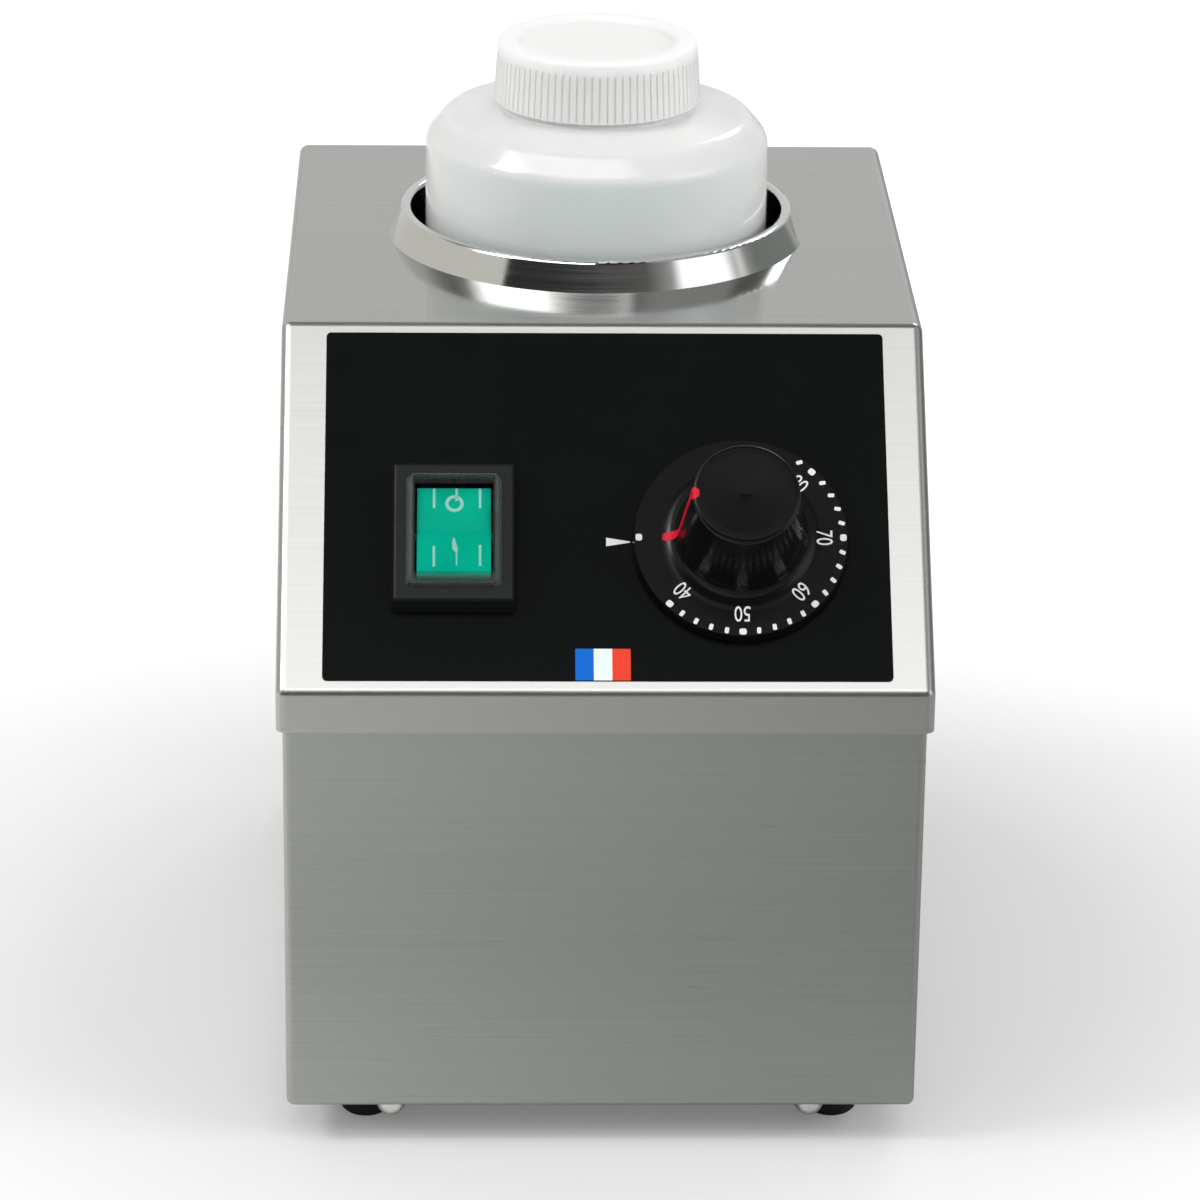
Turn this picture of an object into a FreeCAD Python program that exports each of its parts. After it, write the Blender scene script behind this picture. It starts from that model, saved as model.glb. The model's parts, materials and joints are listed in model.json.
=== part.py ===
"""Chocolate warmer: a sheet-steel bench unit that keeps a squeeze bottle of sauce warm.

Millimetres. +Z is up, +Y points to the back, the origin is on the bench under the middle
of the outline. The sloped control panel has a frame of its own: x to the right, y up the
slope, z out of the panel, with its origin in the middle of the bend at the panel's top.
"""
import FreeCAD, Part
import math
import os

import Sketcher

SIZES = {
    # Hood: the folded lid with the top, the sloped panel and a narrow apron
    "hood_width": 160.0,
    "top_depth": 157.0,
    "panel_angle": 45.0,
    "panel_length": 99.7,
    "apron_height": 10.6,
    "hood_sheet": 1.0,
    "hood_bend": 2.5,
    # Lower casing, a folded wrap that reaches up inside the hood
    "foot_stand": 10.0,
    "casing_exposed": 102.7,
    "casing_inset": 3.0,
    "casing_side_gap": 0.5,
    "casing_lap": 8.0,
    "casing_sheet": 1.0,
    "casing_bend": 2.0,
    "casing_flange": 11.0,
    "rear_flange": 12.0,
    # Rear panel
    "rear_sheet": 1.0,
    "rear_gap": 0.3,
    "rear_trim": 0.5,
    "vent_length": 38.0,
    "vent_radius": 1.6,
    "vent_pitch": 7.0,
    "vent_height": 62.0,
    "vent_side": 26.0,
    # Base plate
    "base_sheet": 1.2,
    "base_margin": 1.2,
    "base_vent_length": 34.0,
    "base_vent_pitch": 10.0,
    "base_vent_side": 24.0,
    # Small fasteners
    "screw_radius": 2.0,
    "screw_clearance": 0.2,
    "thread_clearance": 0.05,
    "nut_radius": 3.9,
    "nut_height": 3.2,
    "screw_overrun": 1.5,
    "dome_radius": 3.8,
    "dome_rim": 0.8,
    "dome_screw_side": 26.0,
    "dome_screw_inset": 6.0,
    "pan_radius": 3.6,
    "pan_height": 2.2,
    "pan_bevel": 0.9,
    # Rubber feet
    "foot_side": 19.5,
    "foot_inset": 20.5,
    "foot_top_radius": 7.6,
    "foot_base_radius": 6.2,
    "foot_recess_radius": 4.0,
    "foot_recess_depth": 5.5,
    "foot_bevel": 0.8,
    # Heating well
    "well_gap": 3.74,
    "well_wall": 1.0,
    "well_depth": 149.0,
    "well_corner": 5.0,
    "rim_rise": 7.2,
    "rim_width": 2.55,
    "rim_round": 1.1,
    "collar_flare": 3.65,
    "collar_wall": 1.1,
    "well_hole_gap": 0.8,
    "seal_height": 1.6,
    "seal_width": 2.2,
    # Heater, jacket, sensor and cut-out around the well
    "heater_gap": 0.1,
    "heater_wall": 2.6,
    "heater_rise": 22.0,
    "heater_height": 58.0,
    "heater_split": 8.0,
    "heater_ear": 13.0,
    "heater_ear_sheet": 1.5,
    "heater_screw_radius": 2.5,
    "heater_head_radius": 4.5,
    "heater_post_radius": 3.2,
    "heater_post_length": 9.0,
    "heater_post_angle": 35.0,
    "jacket_gap": 0.3,
    "jacket_wall": 7.0,
    "jacket_margin": 6.0,
    "bulb_radius": 3.2,
    "bulb_length": 60.0,
    "bulb_gap": 0.2,
    "bulb_tip_radius": 1.4,
    "bulb_tip_length": 2.4,
    "sleeve_wall": 0.8,
    "sleeve_length": 46.0,
    "sleeve_drop": 8.0,
    "bulb_stickout": 6.0,
    "cutout_radius": 8.5,
    "cutout_height": 7.5,
    "cutout_flange": 11.0,
    "cutout_flange_sheet": 1.2,
    "strap_length": 44.0,
    "strap_width": 12.0,
    "strap_sheet": 1.0,
    # Bottle
    "bottle_radius": 44.66,
    "bottle_wall": 1.5,
    "bottle_seat_gap": 0.3,
    "bottle_foot_round": 6.0,
    "shoulder_start": 26.0,
    "shoulder_round": 6.6,
    "shoulder_inset": 5.06,
    "shoulder_height": 31.9,
    "neck_root_height": 35.2,
    "neck_radius": 24.0,
    "neck_wall": 1.9,
    "neck_ring_width": 1.6,
    "neck_ring_height": 1.4,
    # Screw cap and its liner
    "cap_top": 52.05,
    "cap_height": 15.9,
    "cap_wall": 2.4,
    "cap_draft": 1.0,
    "cap_mouth": 0.6,
    "cap_mouth_height": 1.8,
    "cap_roof": 2.0,
    "cap_rim_width": 4.4,
    "cap_dish": 1.5,
    "cap_round": 1.3,
    "cap_neck_gap": 0.4,
    "liner_sheet": 1.2,
    "liner_gap": 0.3,
    # Control overlay
    "label_left": 68.7,
    "label_right": 69.7,
    "label_start": 2.9,
    "label_end": 96.65,
    "label_sheet": 0.4,
    "label_round": 1.2,
    # Rocker switch
    "switch_x": -36.9,
    "switch_s": 59.6,
    "bezel_side": 4.6,
    "bezel_end": 4.2,
    "bezel_height": 5.6,
    "bezel_taper": 8.0,
    "bezel_round": 0.8,
    "housing_side": 1.4,
    "housing_end": 2.0,
    "housing_depth": 24.0,
    "housing_gap": 0.2,
    "rocker_width": 18.0,
    "rocker_reach": 12.4,
    "rocker_gap": 0.5,
    "rocker_throw": 12.0,
    "rocker_rise": 4.2,
    "rocker_sink": 5.0,
    "rocker_valley": 0.9,
    "pivot_height": 1.8,
    "pivot_radius": 1.2,
    "pivot_length": 1.6,
    "pivot_gap": 0.05,
    "pivot_end_gap": 0.4,
    "rocker_well_depth": 6.0,
    "cover_side": 2.15,
    "cover_end": 1.65,
    "cover_height": 5.0,
    "cover_taper": 13.0,
    "cover_wall": 0.7,
    "cover_round": 1.0,
    "tab_width": 6.3,
    "tab_sheet": 0.8,
    "tab_length": 8.0,
    "tab_side": 5.6,
    "tab_along": 7.5,
    # Thermostat and its knob
    "knob_x": 33.2,
    "knob_s": 60.2,
    "skirt_radius": 26.6,
    "skirt_start": 1.2,
    "skirt_plane": 4.0,
    "skirt_draft": 0.5,
    "skirt_wall": 1.4,
    "grip_base_radius": 15.2,
    "grip_spread": 4.4,
    "grip_fillet": 4.6,
    "grip_draft": 2.2,
    "knob_top": 30.0,
    "grip_round": 1.2,
    "knob_dish": 0.5,
    "hub_wall": 2.6,
    "grip_wall": 1.6,
    "knob_cavity_roof": 4.5,
    "spindle_radius": 3.0,
    "spindle_gap": 0.05,
    "spindle_flat": 1.4,
    "spindle_length": 22.0,
    "spindle_socket": 10.0,
    "spindle_hole_radius": 5.0,
    "stat_width": 36.0,
    "stat_length": 42.0,
    "stat_frame": 1.5,
    "stat_box_width": 32.0,
    "stat_box_length": 34.0,
    "stat_box_depth": 17.0,
    "stat_bushing_radius": 4.6,
    "stat_cup_radius": 10.0,
    "stat_cup_depth": 4.0,
    "stat_screw_pitch": 28.0,
    "label_screw_radius": 4.2,
    "stat_screw_depth": 5.0,
    # Cable gland, nut and seal
    "gland_side": 32.5,
    "gland_height": 34.0,
    "gland_thread_radius": 8.0,
    "gland_bore_radius": 5.0,
    "gland_flat_radius": 12.0,
    "gland_flange": 5.0,
    "gland_inside": 11.0,
    "gland_throat": 8.5,
    "gland_throat_radius": 8.4,
    "gland_nut_length": 12.5,
    "gland_nut_radius": 11.2,
    "gland_nut_gap": 0.5,
    "gland_nut_bevel": 2.5,
    "gland_nut_lip": 1.0,
    "gland_lock_sheet": 4.5,
    "cable_bore_radius": 4.1,
    "seal_length": 8.0,
    "seal_wall": 2.6,
    # Terminal block and earth stud on the base plate
    "block_side": 38.5,
    "block_setback": 34.0,
    "block_width": 34.0,
    "block_depth": 20.0,
    "block_height": 17.0,
    "block_pitch": 10.0,
    "block_bore_radius": 2.0,
    "block_screw_radius": 1.6,
    "block_fixing_depth": 5.0,
    "stud_side": 34.5,
    "stud_setback": 30.0,
    "stud_length": 16.0,
}


class Size:
    """A length or an angle: its value now, and the formula that ties it to the sheet."""

    def __init__(self, value, formula):
        self.value = value
        self.formula = formula

    def __add__(self, other):
        return Size(self.value + number(other), "(%s + %s)" % (self.formula, text(other)))

    def __radd__(self, other):
        return Size(number(other) + self.value, "(%s + %s)" % (text(other), self.formula))

    def __sub__(self, other):
        return Size(self.value - number(other), "(%s - %s)" % (self.formula, text(other)))

    def __rsub__(self, other):
        return Size(number(other) - self.value, "(%s - %s)" % (text(other), self.formula))

    def __mul__(self, other):
        return Size(self.value * number(other), "(%s * %s)" % (self.formula, text(other)))

    def __rmul__(self, other):
        return Size(number(other) * self.value, "(%s * %s)" % (text(other), self.formula))

    def __truediv__(self, other):
        return Size(self.value / number(other), "(%s / %s)" % (self.formula, text(other)))

    def __neg__(self):
        return Size(-self.value, "(0 - %s)" % self.formula)


def number(value):
    """The plain number of a Size or of a number."""
    return value.value if isinstance(value, Size) else float(value)


def text(value):
    """The formula of a Size, or a number written out."""
    return value.formula if isinstance(value, Size) else "%.6f" % value


def sine(angle):
    return Size(math.sin(math.radians(number(angle))), "sin(%s)" % text(angle))


def cosine(angle):
    return Size(math.cos(math.radians(number(angle))), "cos(%s)" % text(angle))


def root(value):
    return Size(math.sqrt(number(value)), "sqrt(%s)" % text(value))


class Sizes:
    """The cells of the sheet by name."""


def make_sheet(document):
    """Write every driving size into the sheet and give it its word as an alias."""
    sheet = document.addObject("Spreadsheet::Sheet", "sizes")
    names = Sizes()
    for row, (name, value) in enumerate(SIZES.items(), start=1):
        sheet.set("A%d" % row, name)
        sheet.set("B%d" % row, str(value))
        sheet.setAlias("B%d" % row, name)
        setattr(names, name, Size(value, "sizes.%s" % name))
    document.recompute()
    return names


doc = FreeCAD.newDocument("chocolate_warmer")
dim = make_sheet(doc)
subparts = []

ORIGIN_PLANES = {"XY": "XY_Plane", "XZ": "XZ_Plane", "YZ": "YZ_Plane"}
VENT_ROWS = 6
BASE_VENT_ROWS = 7
THROUGH = 4
SLACK = 0.05
TINY = 1e-6
BOTH = 0
UP = 1
DOWN = -1


def set_size(item, name, value):
    """Bind a property to its formula, or set it where it is a plain number."""
    if isinstance(value, Size):
        item.setExpression(name, value.formula)
    else:
        setattr(item, name, value)


def set_place(item, name, spot, turn_axis=None, turn=0.0):
    """Give a placement property its position and its turn, bound where they are sizes."""
    axis = FreeCAD.Vector(*(turn_axis or (0, 0, 1)))
    rotation = FreeCAD.Rotation(axis, number(turn))
    base = FreeCAD.Vector(*[number(value) for value in spot])
    setattr(item, name, FreeCAD.Placement(base, rotation))
    for letter, value in zip("xyz", spot):
        if isinstance(value, Size):
            item.setExpression("%s.Base.%s" % (name, letter), value.formula)
    if isinstance(turn, Size):
        item.setExpression("%s.Rotation.Angle" % name, turn.formula)


def circle(x, y, radius):
    return ("circle", x, y, radius)


def path(*points):
    """A closed outline. A third value makes the edge that arrives there an arc of that radius,
    turning left where it is positive and right where it is negative."""
    return ("path", points)


def rectangle(left, bottom, right, top):
    return path((left, bottom), (right, bottom), (right, top), (left, top))


def slot(x, y, length, radius):
    """A slot along x with round ends; each end is two quarter arcs."""
    reach = length / 2 - radius
    return path((x + reach, y - radius), (x + reach + radius, y, radius),
                (x + reach, y + radius, radius),
                (x - reach, y + radius), (x - reach - radius, y, radius),
                (x - reach, y - radius, radius))


def hexagon(x, y, radius):
    """A hexagon with a corner on the x axis; radius reaches to its corners."""
    corners = []
    for step in range(6):
        angle = math.radians(60 * step)
        corners.append((x + radius * round(math.cos(angle), 6),
                        y + radius * round(math.sin(angle), 6)))
    return path(*corners)


def arc_between(start, end, radius):
    """The shorter arc from start to end, left-turning for a positive radius."""
    if radius < 0:
        return arc_between(end, start, -radius)
    chord = end - start
    half = chord.Length / 2
    rise = math.sqrt(max(radius * radius - half * half, 0.0))
    left = FreeCAD.Vector(-chord.y, chord.x, 0).normalize()
    centre = start + chord / 2 + left * rise
    first = math.atan2(start.y - centre.y, start.x - centre.x)
    last = math.atan2(end.y - centre.y, end.x - centre.x)
    if last < first:
        last += 2 * math.pi
    return Part.ArcOfCircle(Part.Circle(centre, FreeCAD.Vector(0, 0, 1), radius), first, last)


class Dimensions:
    """Collects a sketch's constraints, adds them in one go and binds each to its formula."""

    def __init__(self, sketch):
        self.sketch = sketch
        self.constraints = []
        self.formulas = []

    def pin(self, kind, ends, value):
        if isinstance(value, Size):
            self.formulas.append((len(self.constraints), value.formula))
        self.constraints.append(Sketcher.Constraint(kind, *ends, number(value)))

    def join(self, first, first_end, second, second_end):
        self.constraints.append(Sketcher.Constraint("Coincident", first, first_end, second, second_end))

    def apply(self):
        self.sketch.addConstraint(self.constraints)
        for index, formula in self.formulas:
            name = "size%d" % index
            self.sketch.renameConstraint(index, name)
            self.sketch.setExpression("Constraints.%s" % name, formula)


def draw_circle(sketch, dimensions, x, y, radius):
    centre = FreeCAD.Vector(number(x), number(y), 0)
    index = sketch.addGeometry(Part.Circle(centre, FreeCAD.Vector(0, 0, 1), number(radius)))
    dimensions.pin("DistanceX", (-1, 1, index, 3), x)
    dimensions.pin("DistanceY", (-1, 1, index, 3), y)
    dimensions.pin("Radius", (index,), radius)


def draw_path(sketch, dimensions, points):
    """Lines and arcs through the points, joined end to end, each point dimensioned."""
    spots = [FreeCAD.Vector(number(point[0]), number(point[1]), 0) for point in points]
    edges = []
    for step, point in enumerate(points):
        start = spots[step - 1]
        end = spots[step]
        if len(point) == 3:
            bend = number(point[2])
            index = sketch.addGeometry(arc_between(start, end, bend))
            edges.append((index, 1, 2) if bend > 0 else (index, 2, 1))
        else:
            index = sketch.addGeometry(Part.LineSegment(start, end))
            edges.append((index, 1, 2))
    for step, (index, head, tail) in enumerate(edges):
        following, next_head, next_tail = edges[(step + 1) % len(edges)]
        dimensions.join(index, tail, following, next_head)
    for (index, head, tail), point in zip(edges, points):
        dimensions.pin("DistanceX", (-1, 1, index, tail), point[0])
        dimensions.pin("DistanceY", (-1, 1, index, tail), point[1])
        if len(point) == 3:
            bend = point[2]
            dimensions.pin("Radius", (index,), bend if number(bend) > 0 else -bend)


class Piece:
    """One solid piece: a body whose sketches and features are bound to the sheet."""

    def __init__(self, label, spot=(0, 0, 0), turn_axis=None, turn=0.0):
        self.body = doc.addObject("PartDesign::Body", label + "_body")
        self.body.Label = label + "_body"
        self.label = label
        set_place(self.body, "Placement", spot, turn_axis, turn)
        self.count = 0

    def sketch(self, plane, outlines, at, centre=(0, 0), turn_axis=None, turn=0.0):
        """A sketch on one of the body's own planes, at a distance along that axis.

        XY sketches have x and y, XZ sketches x and z, YZ sketches y and z."""
        self.count += 1
        sketch = self.body.newObject("Sketcher::SketchObject", "%s_sketch%d" % (self.label, self.count))
        role = ORIGIN_PLANES[plane]
        support = [item for item in self.body.Origin.OriginFeatures if item.Role == role][0]
        sketch.AttachmentSupport = (support, [""])
        sketch.MapMode = "FlatFace"
        offset = -at if plane == "XZ" else at
        set_place(sketch, "AttachmentOffset", (centre[0], centre[1], offset), turn_axis, turn)
        dimensions = Dimensions(sketch)
        for outline in outlines:
            if outline[0] == "circle":
                draw_circle(sketch, dimensions, *outline[1:])
            else:
                draw_path(sketch, dimensions, outline[1])
        dimensions.apply()
        return sketch

    def feature(self, kind, sketch, plane, length, way):
        """A pad or a pocket from the sketch, along its axis, against it or both ways."""
        feature = self.body.newObject("PartDesign::" + kind, "%s_step%d" % (self.label, self.count))
        feature.Profile = sketch
        set_size(feature, "Length", length)
        if way == BOTH:
            feature.SideType = "Symmetric"
        along_normal = (way == DOWN) if plane == "XZ" else (way == UP)
        feature.Reversed = along_normal if kind == "Pocket" else not along_normal
        self.body.Tip = feature
        return feature

    def pad(self, plane, outlines, at, length, way=UP, taper=None, **place):
        feature = self.feature("Pad", self.sketch(plane, outlines, at, **place), plane, length, way)
        if taper is not None:
            set_size(feature, "TaperAngle", taper)
        doc.recompute()
        return feature

    def pocket(self, plane, outlines, at, length, way=UP, taper=None, **place):
        """Cut the outlines away; a cut that removes nothing is an error."""
        before = self.body.Shape.Volume
        feature = self.feature("Pocket", self.sketch(plane, outlines, at, **place), plane, length, way)
        if taper is not None:
            set_size(feature, "TaperAngle", taper)
        doc.recompute()
        if self.body.Shape.Volume >= before - TINY:
            raise RuntimeError("%s: a pocket cuts nothing" % self.label)
        return feature

    def spin(self, outlines, x=0.0, y=0.0):
        """Turn outlines of radius and height about the vertical line through x, y."""
        sketch = self.sketch("XZ", outlines, y, centre=(x, 0))
        feature = self.body.newObject("PartDesign::Revolution", "%s_spin%d" % (self.label, self.count))
        feature.Profile = sketch
        feature.ReferenceAxis = (sketch, ["V_Axis"])
        feature.Angle = 360.0
        self.body.Tip = feature
        doc.recompute()
        return feature

    def round_edges(self, radius, choose):
        """Fillet the edges that choose() picks from the shape so far."""
        base = self.body.Tip
        names = ["Edge%d" % (index + 1) for index, edge in enumerate(base.Shape.Edges) if choose(edge)]
        if not names:
            raise RuntimeError("%s: no edge to round" % self.label)
        self.count += 1
        feature = self.body.newObject("PartDesign::Fillet", "%s_round%d" % (self.label, self.count))
        feature.Base = (base, names)
        set_size(feature, "Radius", radius)
        self.body.Tip = feature
        doc.recompute()
        return feature

    def hollow(self, wall, open_z):
        """Shell the shape inwards to one wall thickness, open at the level face at open_z."""
        base = self.body.Tip
        names = ["Face%d" % (index + 1) for index, face in enumerate(base.Shape.Faces)
                 if near(face.CenterOfMass.z, open_z)]
        self.count += 1
        feature = self.body.newObject("PartDesign::Thickness", "%s_shell%d" % (self.label, self.count))
        feature.Base = (base, names)
        set_size(feature, "Value", wall)
        feature.Reversed = True
        feature.Join = 1
        self.body.Tip = feature
        doc.recompute()
        return feature

    def fold(self, wall, bend, open_z, half_width, bends):
        """Turn the block into folded sheet: shelled, and rounded inside and outside its bends.

        bends are the y and z of the outer bends that run across the piece."""
        self.hollow(wall, open_z)

        def outside(edge):
            spot = edge_middle(edge)
            across = [pair for pair in bends if near(spot.y, pair[0]) and near(spot.z, pair[1])]
            return not near(spot.z, open_z) and (near(abs(spot.x), half_width) or bool(across))

        def inside(edge):
            return not near(edge_middle(edge).z, open_z) and not outside(edge)

        self.round_edges(bend - wall, inside)
        self.round_edges(bend, outside)

    def repeat(self, feature, axis, span, times):
        """Repeat a feature along one of the body's own axes, over a whole span."""
        self.count += 1
        role = axis + "_Axis"
        line = [item for item in self.body.Origin.OriginFeatures if item.Role == role][0]
        pattern = self.body.newObject("PartDesign::LinearPattern", "%s_row%d" % (self.label, self.count))
        pattern.Originals = [feature]
        pattern.Direction = (line, [""])
        set_size(pattern, "Length", span)
        pattern.Occurrences = times
        self.body.Tip = pattern
        doc.recompute()
        return pattern

    def finish(self):
        """Make the piece a sub-part of its own."""
        return keep(self.body, self.label)


def keep(item, label):
    """Name an object as a sub-part, which also names its file."""
    item.Label = label
    subparts.append(item)
    return item


def group(label, items):
    """Identical loose pieces as one sub-part of separate solids."""
    compound = doc.addObject("Part::Compound", label + "_group")
    compound.Links = items
    return keep(compound, label)


def mirror(item, label, normal, spot):
    """A mirrored copy across the plane through a spot."""
    copy = doc.addObject("Part::Mirroring", label)
    copy.Source = item
    copy.Normal = FreeCAD.Vector(*normal)
    copy.Base = FreeCAD.Vector(*[number(value) for value in spot])
    for letter, value in zip("xyz", spot):
        if isinstance(value, Size):
            copy.setExpression("Base.%s" % letter, value.formula)
    return copy


def four_of(item, label, middle_y):
    """The four copies of a piece that stands in the front right corner."""
    right_rear = mirror(item, label + "_rear", (0, 1, 0), (0, middle_y, 0))
    left_front = mirror(item, label + "_left", (1, 0, 0), (0, 0, 0))
    left_rear = mirror(right_rear, label + "_left_rear", (1, 0, 0), (0, 0, 0))
    return [item, right_rear, left_front, left_rear]


def edge_middle(edge):
    return edge.valueAt((edge.FirstParameter + edge.LastParameter) / 2)


def near(value, target):
    return abs(value - number(target)) < SLACK


def ring_edge(height, radius):
    """Pick a full circle edge about a vertical axis by its height and radius."""
    def choose(edge):
        curve = edge.Curve
        return (isinstance(curve, Part.Circle) and near(curve.Radius, radius)
                and near(curve.Center.z, height))
    return choose


# Heights and depths that the pieces share
half_hood = dim.hood_width / 2
slope_run = dim.panel_length * cosine(dim.panel_angle)
slope_rise = dim.panel_length * sine(dim.panel_angle)
casing_floor = dim.foot_stand
apron_z = dim.foot_stand + dim.casing_exposed
bend_z = apron_z + dim.apron_height
top_z = bend_z + slope_rise
casing_top = apron_z + dim.casing_lap

# The origin stands midway between the knob's front and the gland's end
grip_top_radius = dim.grip_base_radius - dim.grip_draft
knob_reach = (dim.top_depth / 2 + (dim.knob_s + grip_top_radius) * cosine(dim.panel_angle)
              + dim.knob_top * sine(dim.panel_angle))
gland_end = (dim.gland_flange + dim.gland_nut_gap + dim.gland_nut_length
             - dim.hood_sheet - dim.rear_gap)
well_y = (knob_reach - dim.top_depth / 2 - gland_end) / 2
panel_y = well_y - dim.top_depth / 2
apron_y = panel_y - slope_run
rear_y = well_y + dim.top_depth / 2

# The lower casing stands inside the hood
half_casing = half_hood - dim.hood_sheet - dim.casing_side_gap
casing_front = apron_y + dim.casing_inset
rear_panel_face = rear_y - dim.hood_sheet - dim.rear_gap
casing_rear = rear_panel_face - dim.rear_sheet
casing_middle = (casing_front + casing_rear) / 2
base_top = casing_floor + dim.casing_sheet + dim.base_sheet

# Places across the base, counted from the casing's sides
foot_x = half_casing - dim.foot_side
dome_screw_x = half_casing - dim.dome_screw_side
gland_x = half_casing - dim.gland_side
block_x = half_casing - dim.block_side
stud_x = dim.stud_side - half_casing

# Well, bottle and cap share one axis, and each one's radii follow what it fits round
well_floor = top_z - dim.well_depth
well_radius = dim.bottle_radius + dim.well_gap
well_outer = well_radius + dim.well_wall
rim_radius = well_radius + dim.rim_width
rim_top = top_z + dim.rim_rise
shoulder_radius = dim.bottle_radius - dim.shoulder_inset
neck_space = dim.neck_radius + dim.cap_neck_gap
cap_base_radius = neck_space + dim.cap_wall
cap_top_radius = cap_base_radius - dim.cap_draft
cap_top_z = top_z + dim.cap_top
cap_base_z = cap_top_z - dim.cap_height
cap_roof_z = cap_top_z - dim.cap_dish - dim.cap_roof
neck_top_z = cap_roof_z - dim.liner_sheet - dim.liner_gap * 2
screw_hole = dim.screw_radius + dim.screw_clearance
thread_hole = dim.screw_radius + dim.thread_clearance

# The rocker's opening and the housing around it, as half widths and half lengths
opening_x = dim.rocker_width / 2 + dim.rocker_gap
opening_y = dim.rocker_reach + dim.rocker_gap
housing_x = opening_x + dim.housing_side
housing_y = opening_y + dim.housing_end

# The row of rear screws passes the hood, the rear panel and the casing's flange
rear_screw_x = half_casing - dim.rear_flange / 2
rear_screw_upper = apron_z + dim.casing_lap / 2
rear_screw_lower = casing_floor + dim.rear_flange


def on_panel(x, s, z=0.0):
    """The spot of the row's frame for a point of the panel's frame, s down the slope."""
    return (x, panel_y - s * cosine(dim.panel_angle) - z * sine(dim.panel_angle),
            top_z - s * sine(dim.panel_angle) + z * cosine(dim.panel_angle))


def panel_piece(label, x=0.0, s=0.0):
    """A piece built in the panel's frame, with its own origin at x, s on the panel."""
    return Piece(label, on_panel(x, s), (1, 0, 0), dim.panel_angle)


def centred(half_width, half_length):
    """A rectangle about the middle of its sketch."""
    return rectangle(-half_width, -half_length, half_width, half_length)


def panel_cut_outs(fixing_radius):
    """Holes for the switch, the spindle and the thermostat's two screws, in the panel's frame."""
    half_width = housing_x + dim.housing_gap
    half_length = housing_y + dim.housing_gap
    outlines = [rectangle(dim.switch_x - half_width, -dim.switch_s - half_length,
                          dim.switch_x + half_width, -dim.switch_s + half_length),
                circle(dim.knob_x, -dim.knob_s, dim.spindle_hole_radius)]
    for side in (-1, 1):
        outlines.append(circle(dim.knob_x + side * dim.stat_screw_pitch / 2, -dim.knob_s, fixing_radius))
    return outlines


def pan_head(face, way):
    """Outline points of a screw's head from the face that it presses on to its bevelled crown."""
    crown = face + dim.pan_height * way
    return [(dim.pan_radius, face), (dim.pan_radius, crown - dim.pan_bevel * way),
            (dim.pan_radius - dim.pan_bevel, crown), (0.0, crown)]


def make_hood():
    """One folded and welded lid of stainless sheet, open underneath."""
    hood = Piece("hood")
    profile = path((rear_y, apron_z), (rear_y, top_z), (panel_y, top_z),
                   (apron_y, bend_z), (apron_y, apron_z))
    hood.pad("YZ", [profile], 0.0, dim.hood_width, BOTH)
    hood.fold(dim.hood_sheet, dim.hood_bend, apron_z, half_hood,
              [(rear_y, top_z), (panel_y, top_z), (apron_y, bend_z)])
    hood.pocket("XY", [circle(0.0, well_y, well_outer + dim.well_hole_gap)],
                top_z, dim.hood_sheet * THROUGH, BOTH)
    sketch = hood.sketch("XY", panel_cut_outs(screw_hole), top_z, centre=(0.0, panel_y),
                         turn_axis=(1, 0, 0), turn=dim.panel_angle)
    before = hood.body.Shape.Volume
    hood.feature("Pocket", sketch, "XY", dim.hood_sheet * THROUGH, BOTH)
    doc.recompute()
    if hood.body.Shape.Volume >= before:
        raise RuntimeError("hood: the panel's cut-outs are missing")
    screw_holes = [circle(side * rear_screw_x, rear_screw_upper, screw_hole) for side in (-1, 1)]
    hood.pocket("XZ", screw_holes, rear_y, dim.hood_sheet * THROUGH, BOTH)
    hood.finish()


def make_lower_casing():
    """The wrap of the lower body: front and sides, with flanges turned in below and behind."""
    casing = Piece("lower_casing")
    casing.pad("XY", [rectangle(-half_casing, casing_front, half_casing, casing_rear)],
               casing_floor, casing_top - casing_floor)
    casing.fold(dim.casing_sheet, dim.casing_bend, casing_top, half_casing,
                [(casing_front, casing_floor), (casing_rear, casing_floor)])
    inner = half_casing - dim.casing_flange
    casing.pocket("XY", [rectangle(-inner, casing_front + dim.casing_flange,
                                   inner, casing_rear + dim.casing_sheet)],
                  casing_floor, dim.casing_sheet * THROUGH, BOTH)
    window = half_casing - dim.rear_flange
    casing.pocket("XZ", [rectangle(-window, casing_floor - dim.casing_sheet,
                                   window, casing_top + dim.casing_sheet)],
                  casing_rear, dim.casing_sheet * THROUGH, BOTH)
    casing.pocket("XY", [circle(side * dome_screw_x, casing_front + dim.dome_screw_inset, screw_hole)
                         for side in (-1, 1)], casing_floor, dim.casing_sheet * THROUGH, BOTH)
    casing.pocket("XZ", [circle(side * rear_screw_x, height, screw_hole)
                         for side in (-1, 1) for height in (rear_screw_lower, rear_screw_upper)],
                  casing_rear, dim.casing_sheet * THROUGH, BOTH)
    casing.finish()


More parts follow.
